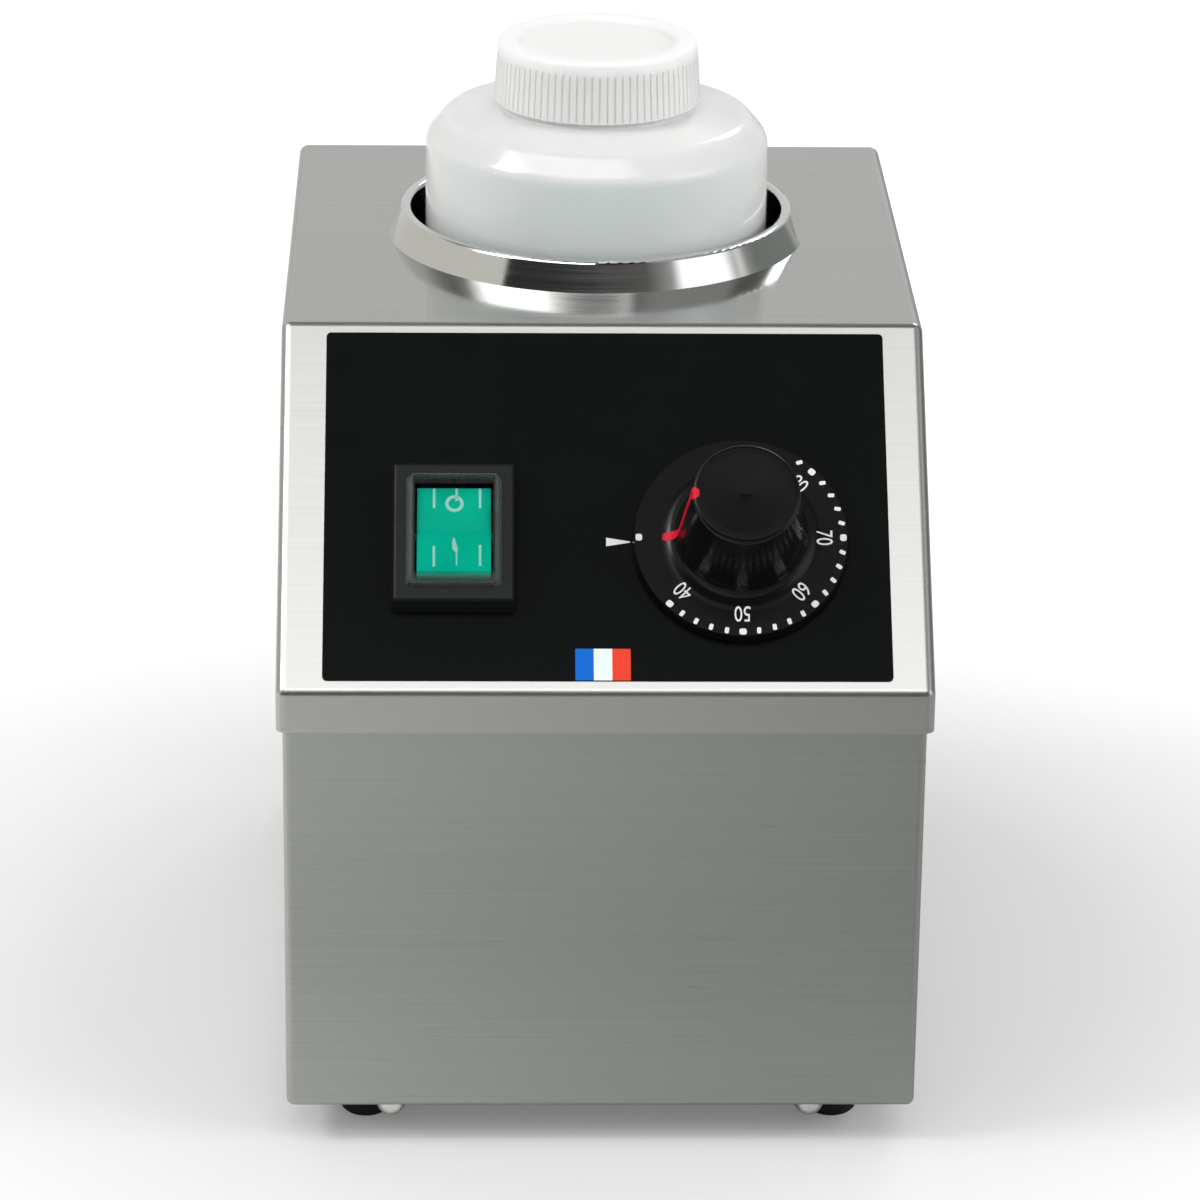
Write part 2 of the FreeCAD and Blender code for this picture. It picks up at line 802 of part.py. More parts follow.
def make_rear_panel():
    """The screwed back: a plate with vents, the gland's hole and a foot flange turned in."""
    panel = Piece("rear_panel")
    half_width = half_casing - dim.rear_trim
    panel.pad("XZ", [rectangle(-half_width, casing_floor, half_width, casing_top)],
              casing_rear, dim.rear_sheet)
    foot_half = half_casing - dim.rear_flange - dim.rear_trim
    panel.pad("XY", [rectangle(-foot_half, casing_rear - dim.casing_flange,
                               foot_half, casing_rear + dim.rear_sheet / 2)],
              casing_floor, dim.casing_sheet)
    vents = [slot(side * dim.vent_side, casing_floor + dim.vent_height, dim.vent_length, dim.vent_radius)
             for side in (-1, 1)]
    pair = panel.pocket("XZ", vents, casing_rear, dim.rear_sheet * THROUGH, BOTH)
    panel.repeat(pair, "Z", dim.vent_pitch * (VENT_ROWS - 1), VENT_ROWS)
    panel.pocket("XZ", [circle(side * rear_screw_x, height, screw_hole)
                        for side in (-1, 1) for height in (rear_screw_lower, rear_screw_upper)],
                 casing_rear, dim.rear_sheet * THROUGH, BOTH)
    gland_hole = dim.gland_thread_radius + dim.screw_clearance
    panel.pocket("XZ", [circle(gland_x, dim.gland_height, gland_hole)],
                 casing_rear, dim.rear_sheet * THROUGH, BOTH)
    panel.pocket("XY", [circle(side * dome_screw_x, casing_rear - dim.dome_screw_inset, screw_hole)
                        for side in (-1, 1)], casing_floor, dim.casing_sheet * THROUGH, BOTH)
    panel.finish()


def corner_spots():
    """Where the dome screws and the feet go through the base: x, y."""
    spots = []
    for side in (-1, 1):
        spots.append((side * dome_screw_x, casing_front + dim.dome_screw_inset))
        spots.append((side * dome_screw_x, casing_rear - dim.dome_screw_inset))
        spots.append((side * foot_x, casing_front + dim.foot_inset))
        spots.append((side * foot_x, casing_rear - dim.foot_inset))
    return spots


def make_base_plate():
    """The floor of the casing, with vent slots and its screw holes."""
    base = Piece("base_plate")
    margin = dim.casing_sheet + dim.base_margin
    floor = casing_floor + dim.casing_sheet
    base.pad("XY", [rectangle(-half_casing + margin, casing_front + margin,
                              half_casing - margin, casing_rear - margin)], floor, dim.base_sheet)
    base.pocket("XY", [circle(x, y, screw_hole) for x, y in corner_spots()],
                floor, dim.base_sheet * THROUGH, BOTH)
    first_row = casing_middle - dim.base_vent_pitch * (BASE_VENT_ROWS - 1) / 2
    vents = [slot(side * dim.base_vent_side, first_row, dim.base_vent_length, dim.vent_radius)
             for side in (-1, 1)]
    pair = base.pocket("XY", vents, floor, dim.base_sheet * THROUGH, BOTH)
    base.repeat(pair, "Y", dim.base_vent_pitch * (BASE_VENT_ROWS - 1), BASE_VENT_ROWS)
    base.pocket("XY", [circle(stud_x, casing_rear - dim.stud_setback, screw_hole)],
                floor, dim.base_sheet * THROUGH, BOTH)
    base.pocket("XY", [circle(block_x, casing_rear - dim.block_setback, screw_hole)],
                floor, dim.base_sheet * THROUGH, BOTH)
    base.finish()


def make_feet():
    """Four rubber feet with the screw's head sunk in a recess."""
    foot_top = casing_floor + dim.casing_sheet
    foot = Piece("foot", (foot_x, casing_front + dim.foot_inset, 0.0))
    foot.spin([path((dim.foot_recess_radius, 0.0), (dim.foot_base_radius - dim.foot_bevel, 0.0),
                    (dim.foot_base_radius, dim.foot_bevel), (dim.foot_top_radius, foot_top),
                    (screw_hole, foot_top), (screw_hole, dim.foot_recess_depth),
                    (dim.foot_recess_radius, dim.foot_recess_depth))])
    group("rubber_feet", four_of(foot.body, "foot", casing_middle))
    shank_top = base_top + dim.nut_height + dim.screw_overrun
    screw = Piece("foot_screw", (foot_x, casing_front + dim.foot_inset, 0.0))
    screw.spin([path((0.0, shank_top), (dim.screw_radius, shank_top),
                     (dim.screw_radius, dim.foot_recess_depth),
                     *pan_head(dim.foot_recess_depth, DOWN))])
    group("foot_screws", four_of(screw.body, "foot_screw", casing_middle))


def make_dome_screws():
    """Four bright dome-headed screws that hold the base plate from below."""
    shank_top = base_top + dim.nut_height + dim.screw_overrun
    head_low = casing_floor - dim.dome_rim - dim.dome_radius
    screw = Piece("dome_screw", (dome_screw_x, casing_front + dim.dome_screw_inset, 0.0))
    screw.spin([path((0.0, head_low), (dim.dome_radius, casing_floor - dim.dome_rim, dim.dome_radius),
                     (dim.dome_radius, casing_floor), (dim.screw_radius, casing_floor),
                     (dim.screw_radius, shank_top), (0.0, shank_top))])
    group("base_dome_screws", four_of(screw.body, "dome_screw", casing_middle))


def make_base_nuts():
    """The eight nuts inside that take the foot screws and the dome screws."""
    nuts = []
    for name, x, inset in (("foot_nut", foot_x, dim.foot_inset),
                           ("dome_nut", dome_screw_x, dim.dome_screw_inset)):
        nut = Piece(name, (x, casing_front + inset, 0.0))
        nut.pad("XY", [hexagon(0.0, 0.0, dim.nut_radius), circle(0.0, 0.0, thread_hole)],
                base_top, dim.nut_height)
        nuts += four_of(nut.body, name, casing_middle)
    group("base_nuts", nuts)


def make_rear_screws():
    """Pan-head screws through the rear panel: the lower pair, and the upper pair through the hood."""
    screws = []
    for name, height, face in (("lower_rear_screw", rear_screw_lower, rear_panel_face),
                               ("upper_rear_screw", rear_screw_upper, rear_y)):
        screw = Piece(name, (rear_screw_x, face, height), (1, 0, 0), -90.0)
        shank_end = casing_rear - dim.casing_sheet - dim.nut_height - face
        screw.spin([path((0.0, shank_end), (dim.screw_radius, shank_end), (dim.screw_radius, 0.0),
                         *pan_head(0.0, UP))])
        screws += [screw.body, mirror(screw.body, name + "_left", (1, 0, 0), (0, 0, 0))]
    group("rear_screws", screws)
    nuts = []
    for name, height in (("lower_rear_nut", rear_screw_lower), ("upper_rear_nut", rear_screw_upper)):
        nut = Piece(name, (rear_screw_x, casing_rear - dim.casing_sheet, height), (1, 0, 0), -90.0)
        nut.pad("XY", [hexagon(0.0, 0.0, dim.nut_radius), circle(0.0, 0.0, thread_hole)],
                0.0, dim.nut_height - dim.thread_clearance, DOWN)
        nuts += [nut.body, mirror(nut.body, name + "_left", (1, 0, 0), (0, 0, 0))]
    group("rear_nuts", nuts)


def make_well():
    """The spun well: a closed tube whose lip turns over into a flared collar on the hood."""
    well = Piece("heating_well", (0.0, well_y, 0.0))
    wall = dim.well_wall
    collar_radius = rim_radius + dim.collar_flare
    corner = dim.well_corner
    inner_corner = corner - wall / 2
    inside = well_floor + wall
    well.spin([path((0.0, well_floor), (well_outer - corner, well_floor), (well_outer, well_floor + corner),
                    (well_outer, rim_top - wall), (rim_radius - wall, rim_top - wall),
                    (collar_radius - dim.collar_wall, top_z), (collar_radius, top_z),
                    (rim_radius, rim_top), (well_radius, rim_top), (well_radius, inside + inner_corner),
                    (well_radius - inner_corner, inside), (0.0, inside))])
    well.round_edges(dim.rim_round, lambda edge: ring_edge(rim_top, rim_radius)(edge)
                     or ring_edge(rim_top, well_radius)(edge))
    well.finish()
    seal = Piece("collar_seal", (0.0, well_y, 0.0))
    inner = well_outer + dim.well_hole_gap / 2
    seal.spin([rectangle(inner, top_z, inner + dim.seal_width, top_z + dim.seal_height)])
    seal.finish()


def make_heater():
    """A mica band heater: a split band with two ears drawn together by a screw at the back."""
    low = well_floor + dim.heater_rise
    high = low + dim.heater_height
    inner = well_outer + dim.heater_gap
    outer = inner + dim.heater_wall
    band = Piece("band_heater", (0.0, well_y, 0.0))
    band.pad("XY", [circle(0.0, 0.0, outer), circle(0.0, 0.0, inner)], low, dim.heater_height)
    half_gap = dim.heater_split / 2
    band.pocket("XY", [rectangle(-half_gap, inner - dim.heater_wall, half_gap, outer + dim.heater_wall)],
                low, dim.heater_height * 2, BOTH)
    ears = [rectangle(half_gap, inner + dim.heater_wall / 2, half_gap + dim.heater_ear_sheet,
                      outer + dim.heater_ear),
            rectangle(-half_gap - dim.heater_ear_sheet, inner + dim.heater_wall / 2, -half_gap,
                      outer + dim.heater_ear)]
    band.pad("XY", ears, low, dim.heater_height)
    ear_y = outer + dim.heater_ear / 2
    ear_hole = dim.heater_screw_radius + dim.screw_clearance
    middle = (low + high) / 2
    band.pocket("YZ", [circle(ear_y, middle, ear_hole)], 0.0, dim.heater_split * THROUGH, BOTH)
    band.finish()
    half_span = half_gap + dim.heater_ear_sheet
    screw = Piece("heater_clamp_screw", (half_span, well_y + ear_y, middle), (0, 1, 0), 90.0)
    end = -half_span * 2 - dim.nut_height - dim.screw_overrun
    screw.spin([path((0.0, end), (dim.heater_screw_radius, end), (dim.heater_screw_radius, 0.0),
                     (dim.heater_head_radius, 0.0), (dim.heater_head_radius, dim.pan_height),
                     (0.0, dim.pan_height))])
    screw.finish()
    nut = Piece("heater_clamp_nut", (-half_span, well_y + ear_y, middle), (0, 1, 0), 90.0)
    nut.pad("XY", [hexagon(0.0, 0.0, dim.nut_radius + dim.heater_screw_radius - dim.screw_radius),
                   circle(0.0, 0.0, dim.heater_screw_radius + dim.thread_clearance)],
            0.0, dim.nut_height, DOWN)
    nut.finish()
    posts = []
    for name, side in (("left_post", 1), ("right_post", -1)):
        turn = side * dim.heater_post_angle
        post = Piece(name, (0.0, well_y, middle), (0, 0, 1), turn)
        post.pad("XZ", [circle(0.0, 0.0, dim.heater_post_radius)], outer, dim.heater_post_length)
        posts.append(post.body)
    group("heater_terminals", posts)
    jacket = Piece("insulation_jacket", (0.0, well_y, 0.0))
    jacket_inner = outer + dim.jacket_gap
    jacket_outer = jacket_inner + dim.jacket_wall
    jacket.pad("XY", [circle(0.0, 0.0, jacket_outer), circle(0.0, 0.0, jacket_inner)],
               low - dim.jacket_margin, dim.heater_height + dim.jacket_margin * 2)
    jacket_gap = jacket_outer * sine(dim.heater_post_angle) + dim.heater_post_radius * 2
    jacket.pocket("XY", [rectangle(-jacket_gap, 0.0, jacket_gap, jacket_outer * 2)],
                  low, dim.heater_height * 3, BOTH)
    jacket.finish()


def make_sensor():
    """The thermostat's bulb in its sleeve on the well, and the cut-out strapped below it."""
    reach = well_outer + dim.bulb_radius + dim.bulb_gap + dim.sleeve_wall
    high = top_z - dim.hood_sheet - dim.sleeve_drop
    sleeve = Piece("bulb_sleeve", (0.0, well_y - reach, 0.0))
    inner = dim.bulb_radius + dim.bulb_gap
    sleeve.pad("XY", [circle(0.0, 0.0, inner + dim.sleeve_wall), circle(0.0, 0.0, inner)],
               high - dim.sleeve_length, dim.sleeve_length)
    sleeve.finish()
    bulb = Piece("thermostat_bulb", (0.0, well_y - reach, 0.0))
    low = high - dim.bulb_length + dim.bulb_stickout
    top = low + dim.bulb_length
    bulb.spin([path((0.0, low), (dim.bulb_tip_radius, low), (dim.bulb_radius, low + dim.bulb_tip_length),
                    (dim.bulb_radius, top - dim.bulb_tip_length), (dim.bulb_tip_radius, top), (0.0, top))])
    bulb.finish()
    cutout = Piece("thermal_cutout", (0.0, well_y, 0.0))
    under = well_floor - dim.cutout_height
    flange_low = well_floor - dim.cutout_flange_sheet
    cutout.spin([path((0.0, under), (dim.cutout_radius, under), (dim.cutout_radius, flange_low),
                      (dim.cutout_flange, flange_low), (dim.cutout_flange, well_floor),
                      (0.0, well_floor))])
    cutout.finish()
    strap = Piece("cutout_strap", (0.0, well_y, 0.0))
    half = dim.strap_length / 2
    leg = half - dim.strap_width / 2
    strap.pad("XZ", [path((-half, well_floor), (-half, well_floor - dim.strap_sheet),
                          (-leg, well_floor - dim.strap_sheet), (-leg, under - dim.strap_sheet),
                          (leg, under - dim.strap_sheet), (leg, well_floor - dim.strap_sheet),
                          (half, well_floor - dim.strap_sheet), (half, well_floor),
                          (leg - dim.strap_sheet, well_floor), (leg - dim.strap_sheet, under),
                          (dim.strap_sheet - leg, under), (dim.strap_sheet - leg, well_floor))],
              0.0, dim.strap_width, BOTH)
    strap.finish()


def make_bottle():
    """The blow-moulded bottle, hollow through its neck."""
    bottle = Piece("bottle", (0.0, well_y, 0.0))
    low = well_floor + dim.well_wall + dim.bottle_seat_gap
    wall = dim.bottle_wall
    foot_round = dim.bottle_foot_round
    ring_top = cap_base_z - dim.liner_gap
    ring_radius = dim.neck_radius + dim.neck_ring_width
    bore = dim.neck_radius - dim.neck_wall
    bottle.spin([path(
        (0.0, low), (dim.bottle_radius, low), (dim.bottle_radius, top_z + dim.shoulder_start),
        (shoulder_radius, top_z + dim.shoulder_height, dim.shoulder_round),
        (ring_radius, ring_top - dim.neck_ring_height), (ring_radius, ring_top),
        (dim.neck_radius, ring_top), (dim.neck_radius, neck_top_z), (bore, neck_top_z),
        (bore, top_z + dim.neck_root_height - wall),
        (shoulder_radius - wall / 2, top_z + dim.shoulder_height - wall),
        (dim.bottle_radius - wall, top_z + dim.shoulder_start),
        (dim.bottle_radius - wall, low + foot_round), (dim.bottle_radius - foot_round, low + wall),
        (0.0, low + wall))])
    bottle.round_edges(foot_round, ring_edge(low, dim.bottle_radius))
    bottle.finish()


def make_cap():
    """The screw cap with its raised rim and dished top, and the sealing disc inside it."""
    cap = Piece("bottle_cap", (0.0, well_y, 0.0))
    dish_radius = cap_top_radius - dim.cap_rim_width
    dish_z = cap_top_z - dim.cap_dish
    cap.spin([path((neck_space + dim.cap_mouth, cap_base_z), (cap_base_radius, cap_base_z),
                   (cap_top_radius, cap_top_z), (dish_radius, cap_top_z),
                   (dish_radius - dim.cap_dish, dish_z), (0.0, dish_z), (0.0, cap_roof_z),
                   (neck_space, cap_roof_z), (neck_space, cap_base_z + dim.cap_mouth_height))])
    cap.round_edges(dim.cap_round, ring_edge(cap_top_z, cap_top_radius))
    cap.finish()
    liner = Piece("cap_liner", (0.0, well_y, 0.0))
    liner.spin([path((0.0, cap_roof_z - dim.liner_gap - dim.liner_sheet),
                     (dim.neck_radius, cap_roof_z - dim.liner_gap - dim.liner_sheet),
                     (dim.neck_radius, cap_roof_z - dim.liner_gap), (0.0, cap_roof_z - dim.liner_gap))])
    liner.finish()


def make_label():
    """The dark overlay on the panel, with its cut-outs."""
    label = panel_piece("control_label")
    label.pad("XY", [rectangle(-dim.label_left, -dim.label_end, dim.label_right, -dim.label_start)],
              0.0, dim.label_sheet)
    label.round_edges(dim.label_round, lambda edge: edge.Length < number(dim.label_sheet) + SLACK)
    label.pocket("XY", panel_cut_outs(dim.label_screw_radius), 0.0, dim.label_sheet * THROUGH, BOTH)
    label.finish()


def make_switch():
    """The snap-in rocker switch: bezel and housing in one, rocker, clear splash cover and tabs."""
    base = dim.label_sheet
    frame = panel_piece("switch_frame", dim.switch_x, dim.switch_s)
    frame.pad("XY", [centred(housing_x + dim.bezel_side, housing_y + dim.bezel_end)],
              base, dim.bezel_height, taper=-dim.bezel_taper)
    frame.round_edges(dim.bezel_round, lambda edge: edge_middle(edge).z > number(base) + SLACK)
    frame.pad("XY", [centred(housing_x, housing_y)], base, dim.housing_depth + base, DOWN)
    frame.pocket("XY", [centred(opening_x, opening_y)],
                 base + dim.bezel_height, dim.bezel_height + base + dim.rocker_well_depth, DOWN)
    frame.pocket("YZ", [circle(0.0, dim.pivot_height, dim.pivot_radius + dim.pivot_gap)],
                 0.0, opening_x * 2 + dim.pivot_length * 2, BOTH)
    frame.finish()

    make_rocker()

    cover = panel_piece("switch_splash_cover", dim.switch_x, dim.switch_s)
    seat = base + dim.bezel_height
    half_width = opening_x + dim.cover_side
    half_length = opening_y + dim.cover_end
    cover.pad("XY", [centred(half_width, half_length)], seat, dim.cover_height, taper=-dim.cover_taper)
    cover.round_edges(dim.cover_round, lambda edge: edge_middle(edge).z > number(seat) + SLACK)
    cover.pocket("XY", [centred(half_width - dim.cover_wall, half_length - dim.cover_wall)],
                 seat, dim.cover_height - dim.cover_wall, taper=-dim.cover_taper)
    cover.finish()

    tabs = []
    for side in (-1, 1):
        for end in (-1, 1):
            tab = panel_piece("tab_%d%d" % (side + 1, end + 1), dim.switch_x, dim.switch_s)
            tab.pad("XY", [rectangle(side * dim.tab_side - dim.tab_sheet / 2,
                                     end * dim.tab_along - dim.tab_width / 2,
                                     side * dim.tab_side + dim.tab_sheet / 2,
                                     end * dim.tab_along + dim.tab_width / 2)],
                    -dim.housing_depth, dim.tab_length, DOWN)
            tabs.append(tab.body)
    group("switch_terminals", tabs)


def make_rocker():
    """The rocker about its pivot, drawn level and laid over to its off side by the placement."""
    spot = on_panel(dim.switch_x, dim.switch_s, dim.pivot_height)
    rocker = Piece("switch_rocker", spot, (1, 0, 0), dim.panel_angle - dim.rocker_throw / 2)
    reach = dim.rocker_reach
    rise = dim.rocker_rise
    sink = dim.rocker_sink
    top_y = root(reach * reach - rise * rise)
    low_y = root(reach * reach - sink * sink)
    rocker.pad("YZ", [path((low_y, -sink), (reach, 0.0, reach), (top_y, rise, reach),
                           (0.0, rise - dim.rocker_valley), (-top_y, rise),
                           (-reach, 0.0, reach), (-low_y, -sink, reach))],
               0.0, dim.rocker_width, BOTH)
    rocker.pad("YZ", [circle(0.0, 0.0, dim.pivot_radius)], 0.0,
               dim.rocker_width + (dim.rocker_gap + dim.pivot_length - dim.pivot_end_gap) * 2, BOTH)
    rocker.finish()


def d_shape(radius, flat):
    """A round shaft's section with one flat, which lies at y = flat."""
    half = root(radius * radius - flat * flat)
    return path((-half, flat), (0.0, -radius, radius), (half, flat, radius))


def make_knob():
    """The skirted dial knob on the thermostat's spindle."""
    knob = panel_piece("thermostat_knob", dim.knob_x, dim.knob_s)
    plane = dim.skirt_plane
    under = plane - dim.skirt_wall
    face_radius = dim.skirt_radius - dim.skirt_draft
    knob.spin([path(
        (0.0, under), (face_radius - dim.skirt_wall, under),
        (dim.skirt_radius - dim.skirt_wall, dim.skirt_start), (dim.skirt_radius, dim.skirt_start),
        (face_radius, plane), (dim.grip_base_radius + dim.grip_spread, plane),
        (dim.grip_base_radius, plane + dim.grip_fillet, -dim.grip_fillet),
        (grip_top_radius, dim.knob_top), (grip_top_radius - dim.grip_round * 2, dim.knob_top),
        (0.0, dim.knob_top - dim.knob_dish))])
    knob.round_edges(dim.grip_round, ring_edge(dim.knob_top, grip_top_radius))
    cavity_top = dim.knob_top - dim.knob_cavity_roof
    knob.pocket("XY", [circle(0.0, 0.0, grip_top_radius - dim.grip_wall),
                       circle(0.0, 0.0, dim.spindle_radius + dim.hub_wall)],
                dim.skirt_start, cavity_top - dim.skirt_start)
    bore = dim.spindle_radius + dim.spindle_gap
    knob.pocket("XY", [d_shape(bore, dim.spindle_flat + dim.spindle_gap)], dim.skirt_start,
                dim.spindle_length + dim.spindle_gap - dim.skirt_start)
    knob.finish()
    spindle = panel_piece("thermostat_spindle", dim.knob_x, dim.knob_s)
    spindle.pad("XY", [circle(0.0, 0.0, dim.spindle_radius)], -dim.spindle_socket, dim.spindle_socket)
    spindle.pad("XY", [d_shape(dim.spindle_radius, dim.spindle_flat)], 0.0, dim.spindle_length)
    spindle.finish()


def make_thermostat():
    """The capillary thermostat behind the panel and its two screws."""
    back = -dim.hood_sheet
    stat = panel_piece("thermostat_body", dim.knob_x, dim.knob_s)
    stat.pad("XY", [centred(dim.stat_width / 2, dim.stat_length / 2)], back, dim.stat_frame, DOWN)
    box_start = back - dim.stat_frame
    stat.pad("XY", [centred(dim.stat_box_width / 2, dim.stat_box_length / 2)],
             box_start, dim.stat_box_depth, DOWN)
    stat.pad("XY", [circle(0.0, 0.0, dim.stat_cup_radius)],
             box_start - dim.stat_box_depth, dim.stat_cup_depth, DOWN)
    stat.pad("XY", [circle(0.0, 0.0, dim.stat_bushing_radius)], back, dim.hood_sheet)
    stat.pocket("XY", [circle(0.0, 0.0, dim.spindle_radius + dim.spindle_gap)],
                0.0, dim.spindle_socket + dim.screw_clearance, DOWN)
    stat.pocket("XY", [circle(side * dim.stat_screw_pitch / 2, 0.0, thread_hole) for side in (-1, 1)],
                back, dim.stat_screw_depth, DOWN)
    stat.finish()
    screws = []
    for name, side in (("left_stat_screw", -1), ("right_stat_screw", 1)):
        screw = panel_piece(name, dim.knob_x + side * dim.stat_screw_pitch / 2, dim.knob_s)
        end = back - dim.stat_screw_depth + dim.screw_clearance
        head = dim.skirt_plane - dim.skirt_wall - dim.hood_sheet
        screw.spin([path((0.0, end), (dim.screw_radius, end), (dim.screw_radius, 0.0),
                         (dim.pan_radius, 0.0), (dim.pan_radius, head), (0.0, head))])
        screws.append(screw.body)
    group("thermostat_screws", screws)


def make_gland():
    """The cable gland in the rear panel: body, lock nut inside, dome nut and seal outside."""
    spot = (gland_x, rear_panel_face, dim.gland_height)
    inside = rear_panel_face - casing_rear
    body = Piece("gland_body", spot, (1, 0, 0), -90.0)
    body.pad("XY", [hexagon(0.0, 0.0, dim.gland_flat_radius)], 0.0, dim.gland_flange)
    body.pad("XY", [circle(0.0, 0.0, dim.gland_thread_radius)], 0.0, dim.gland_inside, DOWN)
    body.pad("XY", [circle(0.0, 0.0, dim.gland_throat_radius)], dim.gland_flange, dim.gland_throat)
    body.pocket("XY", [circle(0.0, 0.0, dim.gland_bore_radius)],
                -dim.gland_inside, dim.gland_inside + dim.gland_flange + dim.gland_throat)
    seal_outer = dim.cable_bore_radius + dim.seal_wall
    body.pocket("XY", [circle(0.0, 0.0, seal_outer + dim.thread_clearance)],
                dim.gland_flange + dim.gland_throat, dim.seal_length - dim.gland_nut_gap, DOWN)
    body.finish()
    lock = Piece("gland_lock_nut", spot, (1, 0, 0), -90.0)
    lock.pad("XY", [hexagon(0.0, 0.0, dim.gland_flat_radius),
                    circle(0.0, 0.0, dim.gland_thread_radius + dim.thread_clearance)],
             -inside, dim.gland_lock_sheet, DOWN)
    lock.finish()
    nut = Piece("gland_dome_nut", spot, (1, 0, 0), -90.0)
    low = dim.gland_flange + dim.gland_nut_gap
    high = low + dim.gland_nut_length
    throat = dim.gland_throat_radius + dim.thread_clearance
    throat_end = dim.gland_flange + dim.gland_throat + dim.gland_nut_gap
    bevel = dim.gland_nut_bevel
    nut.spin([path((throat, low), (dim.gland_nut_radius, low), (dim.gland_nut_radius, high - bevel),
                   (dim.gland_nut_radius - bevel, high), (dim.gland_bore_radius, high),
                   (dim.gland_bore_radius, high - dim.gland_nut_lip),
                   (seal_outer + dim.thread_clearance, throat_end), (throat, throat_end))])
    nut.finish()
    seal = Piece("gland_seal", spot, (1, 0, 0), -90.0)
    seal_start = dim.gland_flange + dim.gland_throat - dim.seal_length + dim.gland_nut_gap
    seal.pad("XY", [circle(0.0, 0.0, seal_outer), circle(0.0, 0.0, dim.cable_bore_radius)],
             seal_start, dim.seal_length)
    seal.finish()


def make_base_fittings():
    """The terminal block, its fixing screw and the earth stud on the base plate."""
    block_y = casing_rear - dim.block_setback
    block = Piece("terminal_block", (block_x, block_y, base_top))
    half_depth = dim.block_depth / 2
    block.pad("XY", [centred(dim.block_width / 2, half_depth)], 0.0, dim.block_height)
    ways = [circle(way * dim.block_pitch, dim.block_height / 2, dim.block_bore_radius) for way in (-1, 0, 1)]
    block.pocket("XZ", ways, 0.0, dim.block_depth * 2, BOTH)
    wells = []
    for way in (-1, 0, 1):
        for side in (-1, 1):
            wells.append(circle(way * dim.block_pitch, side * half_depth / 2, dim.block_screw_radius
                                + dim.screw_clearance))
    block.pocket("XY", wells, dim.block_height, dim.block_height / 2, DOWN)
    block.pocket("XY", [circle(0.0, 0.0, thread_hole)], 0.0, dim.block_fixing_depth)
    block.finish()
    fixing = Piece("block_screw", (block_x, block_y, base_top))
    reach = dim.block_fixing_depth - dim.screw_clearance
    fixing.spin([path((0.0, reach), (dim.screw_radius, reach), (dim.screw_radius, -dim.base_sheet),
                      *pan_head(-dim.base_sheet, DOWN))])
    fixing.finish()
    screws = Piece("terminal_screws", (block_x, block_y, base_top))
    pins = []
    for way in (-1, 0, 1):
        for side in (-1, 1):
            pins.append(circle(way * dim.block_pitch, side * half_depth / 2, dim.block_screw_radius))
    screws.pad("XY", pins, dim.block_height / 2 + dim.block_bore_radius / 2,
               dim.block_height / 2 - dim.block_bore_radius)
    screws.finish()
    stud_y = casing_rear - dim.stud_setback
    stud = Piece("earth_stud", (stud_x, stud_y, casing_floor))
    floor = dim.casing_sheet
    stud.spin([path((0.0, dim.stud_length), (dim.screw_radius, dim.stud_length),
                    (dim.screw_radius, floor), *pan_head(floor, DOWN))])
    stud.finish()
    nuts = []
    for name, lift in (("lower_earth_nut", 0.0), ("upper_earth_nut", dim.nut_height)):
        nut = Piece(name, (stud_x, stud_y, base_top + lift))
        nut.pad("XY", [hexagon(0.0, 0.0, dim.nut_radius), circle(0.0, 0.0, thread_hole)],
                0.0, dim.nut_height)
        nuts.append(nut.body)
    group("earth_nuts", nuts)


def check_model():
    """Stop before anything is written if an object failed or a sub-part is not sound."""
    for item in doc.Objects:
        if "Invalid" in item.State or "Error" in item.State:
            raise RuntimeError("%s: %s" % (item.Name, item.State))
    for item in subparts:
        if item.Shape.isNull() or not item.Shape.isValid() or not item.Shape.Solids:
            raise RuntimeError("%s: its shape is not sound" % item.Label)


def export_parts():
    os.makedirs("parts", exist_ok=True)
    for item in subparts:
        item.Shape.exportStep(os.path.join("parts", item.Label + ".step"))
        print("%s: %d solid(s), %.0f mm3" % (item.Label, len(item.Shape.Solids), item.Shape.Volume))


make_hood()
make_lower_casing()
make_rear_panel()
make_base_plate()
make_feet()
make_dome_screws()
make_base_nuts()
make_rear_screws()
make_well()
make_heater()
make_sensor()
make_bottle()
make_cap()
make_label()
make_switch()
make_knob()
make_thermostat()
make_gland()
make_base_fittings()
doc.recompute()
check_model()
export_parts()
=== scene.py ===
"""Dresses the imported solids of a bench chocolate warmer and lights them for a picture."""

import json
import math

import bmesh
import bpy
from mathutils import Matrix, Vector


